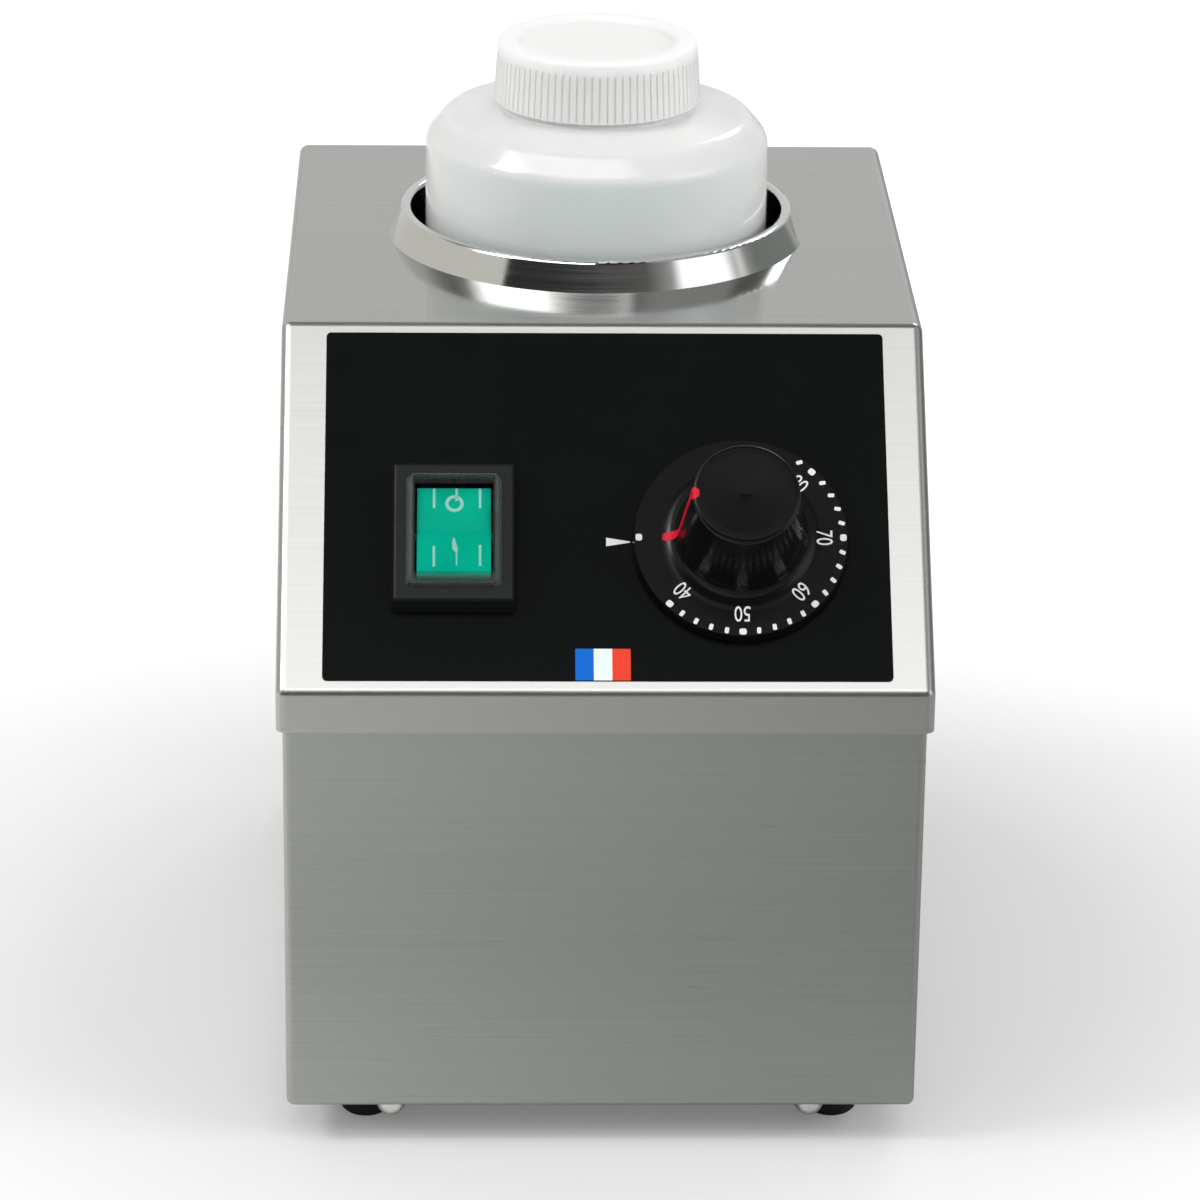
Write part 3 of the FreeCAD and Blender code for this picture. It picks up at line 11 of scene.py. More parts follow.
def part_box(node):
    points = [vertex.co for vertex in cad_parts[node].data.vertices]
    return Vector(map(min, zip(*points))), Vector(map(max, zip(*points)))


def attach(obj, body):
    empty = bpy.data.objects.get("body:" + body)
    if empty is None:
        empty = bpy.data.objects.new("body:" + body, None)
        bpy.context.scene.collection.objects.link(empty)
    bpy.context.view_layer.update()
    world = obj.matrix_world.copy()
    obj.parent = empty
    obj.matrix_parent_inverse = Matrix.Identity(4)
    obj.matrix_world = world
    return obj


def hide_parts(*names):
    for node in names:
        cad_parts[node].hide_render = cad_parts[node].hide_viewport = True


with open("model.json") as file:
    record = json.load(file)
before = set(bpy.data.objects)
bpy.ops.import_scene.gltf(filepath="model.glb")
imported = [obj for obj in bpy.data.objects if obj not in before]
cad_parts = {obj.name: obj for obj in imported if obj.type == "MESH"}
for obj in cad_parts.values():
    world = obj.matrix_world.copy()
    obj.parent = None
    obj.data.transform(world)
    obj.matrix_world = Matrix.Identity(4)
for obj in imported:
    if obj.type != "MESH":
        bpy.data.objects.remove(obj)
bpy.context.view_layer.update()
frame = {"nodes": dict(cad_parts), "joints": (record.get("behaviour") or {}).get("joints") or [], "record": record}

bl_info = {
    "name": "Chocolate warmer dressing",
    "version": (1, 0, 0),
    "blender": (4, 5, 0),
    "location": "View3D > Sidebar > Warmer",
    "description": "Finishes, print, threads and ribs for a bench chocolate warmer",
    "category": "Object",
}

MM = 0.001
IMAGE_SIZE = 1200
SENSOR_WIDTH = 36.0
NODES = frame["nodes"]
JOINTS = {joint["name"]: joint for joint in frame["joints"]}

# Half the floor's width in metres
FLOOR_REACH = 6.0

# The floor as steel mirrors it: a shade across it in metres, and a level by how far ahead a spot is
CARD_WIDTH = (-0.13, 0.13)
CARD_AHEAD = (-0.14, -0.64)
FLOOR_CARD = ((0.0, (0.92, 0.93, 0.89)), (0.5, (0.66, 0.68, 0.66)), (1.0, (0.47, 0.48, 0.47)))
FLOOR_DEPTH = ((0.0, 1.0), (0.07, 0.95), (0.21, 0.68), (0.43, 0.84), (0.50, 1.25), (0.6, 1.8),
               (0.72, 1.7), (0.8, 0.15), (1.0, 0.10))

# The floor as it is seen: a share of its tone glows, more so with the distance from the object, which paints shade
# on the floor around the object
GLOW_SHARE = 0.15
PAINTED_SHADE_REACH = (0.14, 0.32)
GLOW_LEVEL_SHADED_NEAR = (0.9, 2.6)

# What polished metal mirrors, by the turn to the right of the front and by the height, in degrees
ROOM_CARDS = (
    (-180.0, 0.74), (-160.0, (0.72, 0.72, 0.71)), (-140.0, (0.66, 0.65, 0.60)),
    (-57.0, (0.66, 0.66, 0.61)), (-56.0, 0.03), (-2.0, 0.035), (0.0, 0.05),
    (30.0, (0.11, 0.11, 0.105)), (46.0, (0.36, 0.36, 0.35)), (52.0, 1.5), (80.0, 1.5),
    (86.0, (0.55, 0.56, 0.55)), (90.0, (0.85, 0.85, 0.84)), (95.0, (0.30, 0.31, 0.30)),
    (102.0, (0.20, 0.22, 0.21)), (137.0, (0.22, 0.24, 0.23)), (150.0, (0.66, 0.66, 0.65)),
    (168.0, 0.74), (180.0, 0.74),
)
ROOM_HEIGHTS = ((-90.0, 1.0), (40.0, 1.0), (46.0, 1.6), (50.0, 3.9), (67.5, 3.9), (71.0, 0.12),
                (90.0, 0.12))
ROOM_SIDES = ((-180.0, 0.10), (-112.0, 0.10), (-98.0, 0.85), (-60.0, 1.0), (28.0, 1.0), (42.0, 0.12),
              (180.0, 0.10))
CARDS_END = (36.0, 48.0)

# Each lamp's turn to the right of the front and height in degrees, its width and height in metres,
# its level and whether metal mirrors it
LAMPS = {
    "key_lamp": (0.0, 62.0, 1.5, 1.0, "key", False),
    "left_lamp": (-76.0, 43.0, 0.7, 0.6, "side", True),
    "right_lamp": (70.0, 23.0, 1.1, 0.6, "side", False),
    "back_lamp": (155.0, 32.0, 0.7, 0.45, "back", True),
}
LAMP_DISTANCE = 2.2
LAMP_AIM = (0.0, 0.0, 0.18)

# Marks on the rocker in millimetres from its middle: the ring by its middle and two radii, bars by
# their middle and two ends, and the blade. The middle bar is print; the four side bars are painted glints.
ROCKER_RING = (0.1, 7.5, 2.25, 1.45)
ROCKER_BARS_AND_GLINTS = ((-4.87, 6.3, 11.6), (0.62, 8.2, 11.6), (6.36, 6.3, 11.6), (-4.87, -10.4, -4.3),
               (6.36, -10.1, -4.0))
ROCKER_BAR_HALF = 0.3
ROCKER_BLADE = ((-0.17, -1.85), (0.15, -1.95), (1.0, -5.0), (0.85, -5.9), (0.78, -10.1), (0.5, -10.1),
                (0.42, -6.3), (-0.45, -5.0), (-0.45, -3.2))
ROCKER_REST_DEGREES = -6.0

# How far a print reaches under the surface it lies on
SINK = 0.05 * MM

# The kind of a geometry tree's input for each type of value
INPUT_KINDS = {int: "Int", float: "Float", Vector: "Vector", bpy.types.Material: "Material"}


# Sizes and colours that a user would change

def length(name, description, default_mm):
    """A length property whose default is given in millimetres."""
    return bpy.props.FloatProperty(name=name, description=description, default=default_mm * MM,
                                   unit="LENGTH", precision=5)


def colour(name, description, default):
    return bpy.props.FloatVectorProperty(name=name, description=description, default=default,
                                         subtype="COLOR", size=3, min=0.0, max=1.0)


def angle(name, description, degrees):
    return bpy.props.FloatProperty(name=name, description=description,
                                   default=math.radians(degrees), unit="ROTATION")


def number(name, description, default):
    return bpy.props.IntProperty(name=name, description=description, default=default, min=1, max=180)


def level(name, description, default):
    return bpy.props.FloatProperty(name=name, description=description, default=default, min=0.0)


class WarmerPrintSizes(bpy.types.PropertyGroup):
    """Sizes of what is printed on the overlay, the dial and the rocker."""
    thickness: length("Ink thickness", "How far the print stands off its surface", 0.05)
    stripe_left: length("Stripe left", "Left end of the first stripe", -7.44)
    stripe_width: length("Stripe width", "Width of each stripe", 4.48)
    stripe_top: length("Stripe top", "Upper end of the stripes, down the panel", 88.3)
    stripe_bottom: length("Stripe bottom", "Lower end of the stripes, down the panel", 96.6)
    index_left: length("Index left", "Blunt end of the dial's index", 0.3)
    index_right: length("Index right", "Pointed end of the dial's index", 6.2)
    index_height: length("Index height", "Height of the index at its blunt end", 2.3)
    index_down: length("Index place", "Middle of the index, down the panel", 59.9)
    dot_ring: length("Dot ring radius", "Radius of the ring of dots on the dial", 25.0)
    dot_long: length("Dot length", "Length of a dot towards the dial's middle", 1.6)
    dot_wide: length("Large dot width", "Width of the dots at the numbers", 1.8)
    dot_slim: length("Small dot width", "Width of the dots between the numbers", 1.0)
    digit_height: length("Digit height", "Height of the dial's numbers", 4.0)
    digit_radius: length("Digit radius", "Radius of the middle of the numbers", 20.4)
    pointer_width: length("Pointer width", "Width of the red line on the grip", 1.35)
    pointer_dot: length("Pointer dot", "Radius of the red dot on the grip's edge", 1.5)


class WarmerDialSizes(bpy.types.PropertyGroup):
    """Sizes of the turned dial knob."""
    skirt_radius: length("Skirt radius", "Radius of the skirt at its lower edge", 26.6)
    skirt_start: length("Skirt start", "Height of the skirt's lower edge off the panel", 1.2)
    face_radius: length("Face radius", "Radius of the skirt's flat face", 26.1)
    plane: length("Face height", "Height of the skirt's flat face off the panel", 4.0)
    foot_radius: length("Grip foot radius", "Radius where the grip's fillet leaves the face", 19.6)
    base_radius: length("Grip base radius", "Radius at the top of the fillet", 15.2)
    base_height: length("Grip base height", "Height of the top of the fillet", 8.6)
    top_radius: length("Grip top radius", "Radius of the grip at its top", 13.0)
    top: length("Dial height", "Height of the grip's top off the panel", 30.0)
    round: length("Top round", "Radius of the grip's top edge", 1.2)
    first_mark: angle("First number", "Turn of the first number from the off mark", 45.0)
    mark_step: angle("Number step", "Turn from one number to the next", 45.0)


class WarmerBottleSizes(bpy.types.PropertyGroup):
    """Sizes of the bottle with its neck thread, and of the ribs on the cap and the gland's nut."""
    wall: length("Wall", "Thickness of the bottle's wall", 1.5)
    foot_round: length("Foot round", "Radius of the bottle's lower edge", 6.0)
    wall_top: length("Wall top", "Height at which the wall starts to lean in", 219.8)
    wall_round: length("Wall round", "Radius of the bend at the wall's top", 6.0)
    edge_radius: length("Shoulder radius", "Radius of the shoulder's edge", 39.6)
    edge_height: length("Shoulder height", "Height of the shoulder's edge", 225.7)
    edge_round: length("Shoulder round", "Radius of the shoulder's edge itself", 3.6)
    neck_radius: length("Neck radius", "Radius of the neck", 24.0)
    neck_wall: length("Neck wall", "Thickness of the neck", 1.9)
    ring_width: length("Neck ring width", "How far the ring under the cap stands off the neck", 1.6)
    ring_height: length("Neck ring height", "Height of the ring under the cap", 1.4)
    cap_gap: length("Cap gap", "Gap between the ring and the cap", 0.3)
    thread_lead: length("Thread lead", "Rise of the neck's thread in a turn", 8.4)
    thread_ridge: length("Thread ridge", "Radius of the thread's round ridge", 0.6)
    thread_proud: length("Thread height", "How far the thread stands off the neck", 0.33)
    thread_starts: number("Thread starts", "Threads side by side", 2)
    cap_ribs: number("Cap ribs", "Ribs around the cap", 84)
    cap_draft: length("Cap draft", "How much narrower the cap is at its top", 1.0)
    cap_rim: length("Cap rim", "Height of the plain zone above the ribs", 3.6)
    rib_radius: length("Rib radius", "Radius of a rib's round ridge", 0.6)
    rib_proud: length("Rib height", "How far a rib stands off the cap", 0.06)
    nut_ribs: number("Nut ribs", "Ribs around the gland's nut", 24)
    nut_bevel: length("Nut bevel", "Length of the bevel at the nut's end", 2.5)


class WarmerColours(bpy.types.PropertyGroup):
    """Colours of the finishes."""
    steel: colour("Brushed steel", "Sheet of the hood", (0.46, 0.46, 0.445))
    # Painted shade: the lower casing's steel is the hood's brushed steel made darker
    casing: colour("Casing steel", "Sheet of the lower casing", (0.40, 0.405, 0.39))
    polished: colour("Polished steel", "Spun well and its collar", (0.70, 0.70, 0.69))
    zinc: colour("Zinc", "Base plate and nuts", (0.46, 0.48, 0.50))
    overlay: colour("Overlay", "Dark film on the panel", (0.0030, 0.0038, 0.0035))
    knob: colour("Dial", "Satin plastic of the dial", (0.0046, 0.0042, 0.0042))
    plastic: colour("Black plastic", "Switch frame and gland", (0.008, 0.009, 0.009))
    rubber: colour("Rubber", "Feet and gland seal", (0.010, 0.010, 0.010))
    rocker: colour("Rocker", "Green lens of the switch", (0.0, 0.42, 0.28))
    bottle: colour("Bottle", "Natural polyethylene", (0.90, 0.915, 0.905))
    cap: colour("Cap", "Milky polyethylene", (0.97, 0.97, 0.95))
    # Painted shade: the darker tone of the bottle where it is looked at square on
    bottle_painted_shade: colour("Bottle core", "The bottle where it is looked at square on", (0.80, 0.86, 0.855))
    # Also the colour of the painted glints on the rocker
    mark: colour("Rocker print", "Marks on the rocker", (0.30, 0.62, 0.54))
    ink: colour("White print", "Numbers, dots and index", (0.80, 0.82, 0.80))
    pointer: colour("Pointer", "Red line and dots on the grip", (0.62, 0.008, 0.028))
    stripe_blue: colour("Blue stripe", "First stripe", (0.0, 0.135, 0.60))
    stripe_white: colour("White stripe", "Middle stripe", (0.80, 0.90, 0.88))
    stripe_red: colour("Red stripe", "Last stripe", (0.80, 0.052, 0.025))


class WarmerLights(bpy.types.PropertyGroup):
    """The camera and the levels of the studio's lamps."""
    camera_x: length("Camera x", "Camera's place to the right", -34.38)
    camera_y: length("Camera y", "Camera's place to the back", -1306.47)
    camera_z: length("Camera z", "Camera's height", 612.59)
    pitch: angle("Pitch", "How far the camera looks down", 21.415)
    yaw: angle("Yaw", "How far the camera looks to the right", 1.575)
    roll: angle("Roll", "The camera's turn about its own axis", 0.695)
    focus: level("Focal length", "In pixels of the picture", 5306.7)
    key: level("Key", "Overhead lamp", 5.0)
    side: level("Side", "Lamps to both sides", 15.0)
    back: level("Back", "Lamp at the back on the right", 5.0)
    ambient: level("Ambient", "Level of the room", 0.70)


GROUPS = {
    "warmer_print": WarmerPrintSizes,
    "warmer_dial": WarmerDialSizes,
    "warmer_bottle": WarmerBottleSizes,
    "warmer_colours": WarmerColours,
    "warmer_lights": WarmerLights,
}


def sizes(name):
    return getattr(bpy.context.scene, "warmer_" + name)


# Finishes

class Nodes:
    """Adds nodes and links to a tree of shader or geometry nodes."""

    def __init__(self, tree):
        self.tree = tree

    def node(self, kind, **settings):
        """A node with values for its inputs, by their names with _ for a space, and its settings."""
        family = "ShaderNode" if hasattr(bpy.types, "ShaderNode" + kind) else "GeometryNode"
        made = self.tree.nodes.new(family + kind)
        for name, value in settings.items():
            socket = name.replace("_", " ")
            if socket in made.inputs:
                self.feed(made.inputs[socket], value)
            else:
                setattr(made, name, value)
        return made

    def feed(self, target, value):
        """Link an output to a socket, or set the socket's value."""
        if isinstance(value, bpy.types.NodeSocket):
            self.tree.links.new(value, target)
        else:
            target.default_value = value

    def pair(self, kind, operation, first, second):
        """A node that works on its first two inputs."""
        made = self.node(kind, operation=operation)
        self.feed(made.inputs[0], first)
        self.feed(made.inputs[1], second)
        return made.outputs[0]

    def math(self, operation, first, second=0.0):
        return self.pair("Math", operation, first, second)

    def span(self, value, start, end, low=0.0, high=1.0):
        """Carry a value from one range over to another, held at its ends."""
        made = self.node("MapRange", Value=value)
        for name, limit in zip(("From Min", "From Max", "To Min", "To Max"), (start, end, low, high)):
            made.inputs[name].default_value = limit
        return made.outputs["Result"]

    def ramp(self, value, stops):
        """A colour for a value from stops of place and colour, a lone number being a grey."""
        made = self.node("ValToRGB", Fac=value)
        elements = made.color_ramp.elements
        while len(elements) < len(stops):
            elements.new(0.5)
        for element, (place, shade) in zip(elements, stops):
            element.position = place
            element.color = ((shade,) * 3 if isinstance(shade, float) else tuple(shade)) + (1.0,)
        return made.outputs["Color"]

    def blend(self, amount, first, second):
        """A mix of two colours."""
        made = self.node("Mix", data_type="RGBA")
        for index, value in ((0, amount), (6, first), (7, second)):
            self.feed(made.inputs[index], value)
        return made.outputs[2]

    def split(self, vector):
        """The three parts of a vector."""
        return self.node("SeparateXYZ", Vector=vector).outputs


class Finish(Nodes):
    """A material whose nodes read the piece's own coordinates."""

    def __init__(self, name, base, rough, metal=0.0):
        self.material = bpy.data.materials.new(name)
        self.material.use_nodes = True
        super().__init__(self.material.node_tree)
        self.shader = self.tree.nodes["Principled BSDF"]
        self.base = tuple(base) + (1.0,)
        self.rough = rough
        self.set(Base_Color=self.base, Roughness=rough, Metallic=metal)
        self.material.diffuse_color = self.base

    def set(self, **values):
        """Values on the shader's own sockets, by their names with _ for a space."""
        for name, value in values.items():
            self.feed(self.shader.inputs[name.replace("_", " ")], value)
        return self

    def coordinates(self, scale=(1.0, 1.0, 1.0), vector=None):
        """Object coordinates in metres, or a vector, each axis with a scale of its own."""
        source = vector or self.node("TexCoord").outputs["Object"]
        return self.node("Mapping", Vector=source, Scale=scale).outputs["Vector"]

    def noise(self, scale, detail=2.0, stretch=(1.0, 1.0, 1.0), vector=None):
        texture = self.node("TexNoise", Vector=self.coordinates(stretch, vector), Scale=scale,
                            Detail=detail)
        return texture.outputs["Fac"]

    def vary_colour(self, value, amount):
        """Darken and lighten the base colour a little with a pattern."""
        dark = [part * (1.0 - amount) for part in self.base[:3]] + [1.0]
        light = [min(1.0, part * (1.0 + amount)) for part in self.base[:3]] + [1.0]
        return self.set(Base_Color=self.blend(self.span(value, 0.3, 0.7), dark, light))

    def vary_roughness(self, value, low, high):
        return self.set(Roughness=self.span(value, 0.3, 0.7, low, high))

    def bump(self, value, depth_mm, strength=1.0):
        made = self.node("Bump", Strength=strength, Distance=depth_mm * MM, Height=value)
        previous = self.shader.inputs["Normal"].links
        if previous:
            self.feed(made.inputs["Normal"], previous[0].from_socket)
        return self.set(Normal=made.outputs["Normal"])


def brushed_steel(finish, top_rough):
    """Sheet steel brushed level on its walls and from side to side on its smoother top."""
    source = finish.node("TexCoord")
    x, y, z = finish.split(source.outputs["Object"])
    upright = finish.math("ABSOLUTE", finish.split(source.outputs["Normal"])["Z"])
    flat = finish.math("GREATER_THAN", upright, 0.9)
    shift = finish.math("MULTIPLY", flat, y)
    vector = finish.node("CombineXYZ", X=x, Y=finish.math("SUBTRACT", y, shift),
                         Z=finish.math("ADD", z, shift)).outputs[0]
    fine = finish.noise(1.0, 3.0, (30.0, 30.0, 4200.0), vector)
    coarse = finish.noise(1.0, 2.0, (10.0, 10.0, 1300.0), vector)
    grain = finish.math("ADD", finish.math("MULTIPLY", fine, 0.6), finish.math("MULTIPLY", coarse, 0.4))
    finish.vary_colour(grain, 0.07)
    evened = finish.span(flat, 0.0, 1.0, finish.rough, top_rough)
    finish.set(Roughness=finish.math("ADD", evened, finish.span(grain, 0.3, 0.7, -0.03, 0.04)))
    finish.bump(grain, 0.004, 0.4)
    across = finish.pair("VectorMath", "CROSS_PRODUCT", source.outputs["Normal"], (1.0, 0.05, 0.0))
    finish.set(Anisotropic=0.6, Tangent=across)


def polished_steel(finish):
    """Spun and polished steel with faint turning lines."""
    lines = finish.noise(1.0, 2.0, (12.0, 12.0, 1800.0))
    finish.vary_roughness(lines, 0.05, 0.12)
    finish.bump(lines, 0.002, 0.3)


def bright_metal(finish):
    """Plated or turned metal with slight handling marks."""
    marks = finish.noise(420.0, 3.0)
    finish.vary_colour(marks, 0.06)
    finish.vary_roughness(marks, finish.rough * 0.7, finish.rough * 1.4)


def zinc_sheet(finish):
    """Zinc-coated sheet with its faint crystals."""
    cells = finish.node("TexVoronoi", Scale=140.0, Vector=finish.coordinates())
    finish.vary_colour(cells.outputs["Color"], 0.10)
    finish.vary_roughness(finish.noise(90.0), 0.34, 0.5)


def moulded_plastic(finish, grain_mm, specular):
    """Moulded plastic with a fine spark texture."""
    finish.set(Specular_IOR_Level=specular)
    grain = finish.noise(2400.0)
    finish.vary_colour(grain, 0.10)
    finish.vary_roughness(finish.noise(260.0), finish.rough - 0.05, finish.rough + 0.06)
    finish.bump(grain, grain_mm, 0.4)


def knob_plastic(finish, out):
    """Black plastic, textured where it faces along the knob's axis and polished elsewhere."""
    lean = finish.node("VectorMath", operation="DOT_PRODUCT")
    finish.feed(lean.inputs[0], finish.node("TexCoord").outputs["Normal"])
    lean.inputs[1].default_value = out
    turned = finish.span(lean.outputs["Value"], 0.99, 0.93)
    finish.set(Roughness=finish.math("ADD", finish.span(turned, 0.0, 1.0, 0.30, 0.20),
                                     finish.span(finish.noise(260.0), 0.3, 0.7, 0.0, 0.05)),
               Specular_IOR_Level=finish.span(turned, 0.0, 1.0, 0.06, 0.20))


def film(finish):
    """Smooth overlay film."""
    finish.set(Specular_IOR_Level=0.03)
    haze = finish.noise(60.0, 3.0)
    finish.vary_colour(haze, 0.12)
    finish.vary_roughness(haze, 0.26, 0.36)


def ink(finish):
    """Printed ink with a slightly uneven lay."""
    finish.set(Specular_IOR_Level=0.15)
    finish.vary_colour(finish.noise(1500.0), 0.05)


def milky_plastic(finish, square_on_shade, clear, radius_mm):
    """Translucent polyethylene: light goes in, scatters and comes out; its colour has painted light, paler at its
    sides and on upward faces, and painted shade where it is looked at square on.
    """
    finish.set(Transmission_Weight=clear, IOR=1.5, Subsurface_Weight=0.7,
               Subsurface_Radius=(1.0, 1.05, 1.1), Subsurface_Scale=radius_mm * MM,
               Specular_IOR_Level=0.5)
    # Painted light and shade: paler at the sides and on faces that look up, darker where looked at square on
    aside = finish.node("LayerWeight", Blend=0.5).outputs["Facing"]
    above = finish.split(finish.node("TexCoord").outputs["Normal"])["Z"]
    cloud = finish.span(finish.noise(45.0, 3.0), 0.3, 0.7, -0.05, 0.05)
    pale = finish.math("MAXIMUM", finish.span(aside, 0.15, 0.65), finish.span(above, 0.28, 0.40))
    amount = finish.math("ADD", pale, cloud)
    finish.set(Base_Color=finish.blend(amount, tuple(square_on_shade) + (1.0,), finish.base))
    finish.vary_roughness(finish.noise(60.0, 1.0), finish.rough - 0.02, finish.rough + 0.02)
    finish.bump(finish.noise(50.0, 0.0), 0.05, 0.3)


def clear_plastic(finish):
    """The clear flexible splash cover, plainer to see where it is looked at along its face."""
    aside = finish.node("LayerWeight", Blend=0.5).outputs["Facing"]
    finish.set(Alpha=finish.span(aside, 0.12, 1.0, 0.0, 0.55),
               Specular_IOR_Level=finish.span(aside, 0.12, 0.6, 0.02, 0.6))
    finish.vary_roughness(finish.noise(300.0), 0.08, 0.18)
    finish.bump(finish.noise(160.0), 0.03, 0.4)


def lens(finish):
    """The rocker's translucent coloured moulding."""
    finish.set(Subsurface_Weight=0.2, Subsurface_Radius=(0.2, 1.0, 0.8),
               Subsurface_Scale=1.0 * MM, Specular_IOR_Level=0.04)
    finish.vary_colour(finish.noise(130.0), 0.06)
    finish.bump(finish.noise(900.0), 0.01, 0.3)


def woven_glass(finish):
    """The heater jacket's woven glass blanket."""
    wave, cross = [finish.node("TexWave", wave_type="BANDS", bands_direction=direction, Scale=scale,
                               Distortion=distortion, Vector=finish.coordinates()).outputs["Fac"]
                   for direction, scale, distortion in (("Z", 260.0, 1.5), ("DIAGONAL", 180.0, 0.0))]
    weave = finish.math("MULTIPLY", wave, cross)
    finish.vary_colour(weave, 0.12)
    finish.bump(weave, 0.3, 0.8)
    finish.set(Sheen_Weight=0.2)


METALS = (brushed_steel, polished_steel, bright_metal, zinc_sheet)


def make_finishes():
    """Every material slot of the record and the inks: a kind, a colour, a roughness and the rest."""
    shades = sizes("colours")
    knob_out = -Vector(JOINTS["knob_turn"]["axis"])
    kinds = {
        "brushed_stainless": (brushed_steel, shades.steel, 0.30, 0.09),
        # The lower casing: a darker copy of the brushed steel, painted shade
        "brushed_casing": (brushed_steel, shades.casing, 0.30, 0.17),
        "polished_stainless": (polished_steel, shades.polished, 0.07),
        "galvanised_sheet": (zinc_sheet, shades.zinc, 0.42),
        "bright_steel": (bright_metal, (0.72, 0.72, 0.71), 0.16),
        "brass": (bright_metal, (0.66, 0.50, 0.20), 0.26),
        "copper": (bright_metal, (0.70, 0.36, 0.22), 0.28),
        "heater_sheath": (bright_metal, (0.50, 0.48, 0.42), 0.42),
        "black_rubber": (moulded_plastic, shades.rubber, 0.72, 0.02, 0.3),
        "red_silicone": (moulded_plastic, (0.42, 0.06, 0.03), 0.55, 0.01, 0.4),
        "glass_fibre": (woven_glass, (0.70, 0.68, 0.60), 0.9),
        # The bottle's colour carries painted light and shade by its facing and its upward faces
        "natural_polyethylene": (milky_plastic, shades.bottle, 0.16, shades.bottle_painted_shade, 0.20, 2.0),
        "white_polyethylene": (milky_plastic, shades.cap, 0.36, shades.cap, 0.08, 4.0),
        "liner_foam": (moulded_plastic, (0.72, 0.72, 0.68), 0.75, 0.05, 0.3),
        "black_overlay": (film, shades.overlay, 0.30),
        "black_plastic": (moulded_plastic, shades.plastic, 0.30, 0.008, 0.12),
        "knob_plastic": (knob_plastic, shades.knob, 0.32, knob_out),
        "green_lens": (lens, shades.rocker, 0.28),
        "clear_plastic": (clear_plastic, (0.18, 0.23, 0.22), 0.12),
        # Near-black metal laid in the screw heads: painted shade of their cross recesses
        "recess": (bright_metal, (0.02, 0.02, 0.02), 0.5),
        "white_ink": (ink, shades.ink, 0.45),
        "pale_ink": (ink, shades.mark, 0.45),
        "red_ink": (ink, shades.pointer, 0.45),
        "stripe_blue": (ink, shades.stripe_blue, 0.45),
        "stripe_white": (ink, shades.stripe_white, 0.45),
        "stripe_red": (ink, shades.stripe_red, 0.45),
    }
    for name, (kind, base, rough, *values) in kinds.items():
        finish = Finish(name, base, rough, float(kind in METALS))
        kind(finish, *values)
        FINISHES[name] = finish.material


FINISHES = {}


def finish_named(name):
    """A finish by its name; the first call makes them all."""
    if not FINISHES:
        make_finishes()
    return FINISHES[name]


# Mesh helpers

def add_piece(name, mesh, body, materials, place=None):
    """Put a mesh in the scene, moved to its place, as a piece that rides on a body."""
    if place:
        mesh.transform(place)
    piece = bpy.data.objects.new(name, mesh)
    bpy.context.scene.collection.objects.link(piece)
    mesh.materials.clear()
    for material in materials:
        mesh.materials.append(finish_named(material))
    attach(piece, body)
    return piece


def smooth(mesh, sharp_degrees):
    """Shade a mesh smooth but for its edges sharper than an angle."""
    mesh.shade_smooth()
    mesh.set_sharp_from_angle(angle=math.radians(sharp_degrees))


def mesh_from(name, vertices, faces, sharp_degrees=None):
    """A mesh with its normals pointing outwards."""
    mesh = bpy.data.meshes.new(name)
    mesh.from_pydata([tuple(vertex) for vertex in vertices], [], faces)
    work = bmesh.new()
    work.from_mesh(mesh)
    bmesh.ops.remove_doubles(work, verts=work.verts, dist=1e-7)
    bmesh.ops.recalc_face_normals(work, faces=work.faces)
    work.to_mesh(mesh)
    work.free()
    if sharp_degrees is not None:
        smooth(mesh, sharp_degrees)
    return mesh


def rounded(points, steps=6):
    """A closed outline of (radius, height, corner radius) with its corners turned into arcs."""
    outline = []
    for index, (x, y, corner) in enumerate(points):
        here = Vector((x, y))
        if corner <= 0.0:
            outline.append(here)
            continue
        before = Vector(points[index - 1][:2]) - here
        after = Vector(points[(index + 1) % len(points)][:2]) - here
        half = before.angle(after) / 2
        reach = min(corner / math.tan(half), before.length * 0.49, after.length * 0.49)
        radius = reach * math.tan(half)
        middle = here + (before.normalized() + after.normalized()).normalized() * (radius / math.sin(half))
        start = here + before.normalized() * reach - middle
        end = here + after.normalized() * reach - middle
        sweep = start.angle_signed(end)
        for step in range(steps + 1):
            turned = start.copy()
            turned.rotate(Matrix.Rotation(-sweep * step / steps, 2))
            outline.append(middle + turned)
    return outline


def lathe(name, outline, centre, segments=128, sharp_degrees=40.0):
    """Turn a closed outline of radius and height about an upright axis."""
    vertices = []
    rings = []
    for radius, height in outline:
        count = segments if radius > 1e-7 else 1
        rings.append([len(vertices) + step % count for step in range(segments)])
        for step in range(count):
            around = 2 * math.pi * step / segments
            vertices.append((centre[0] + radius * math.cos(around), centre[1] + radius * math.sin(around),
                             height))
    faces = []
    for ring, other in zip(rings, rings[1:] + rings[:1]):
        for step in range(segments):
            following = (step + 1) % segments
            corners = [ring[step], ring[following], other[following], other[step]]
            face = list(dict.fromkeys(corners))
            if len(face) > 2:
                faces.append(face)
    return mesh_from(name, vertices, faces, sharp_degrees)


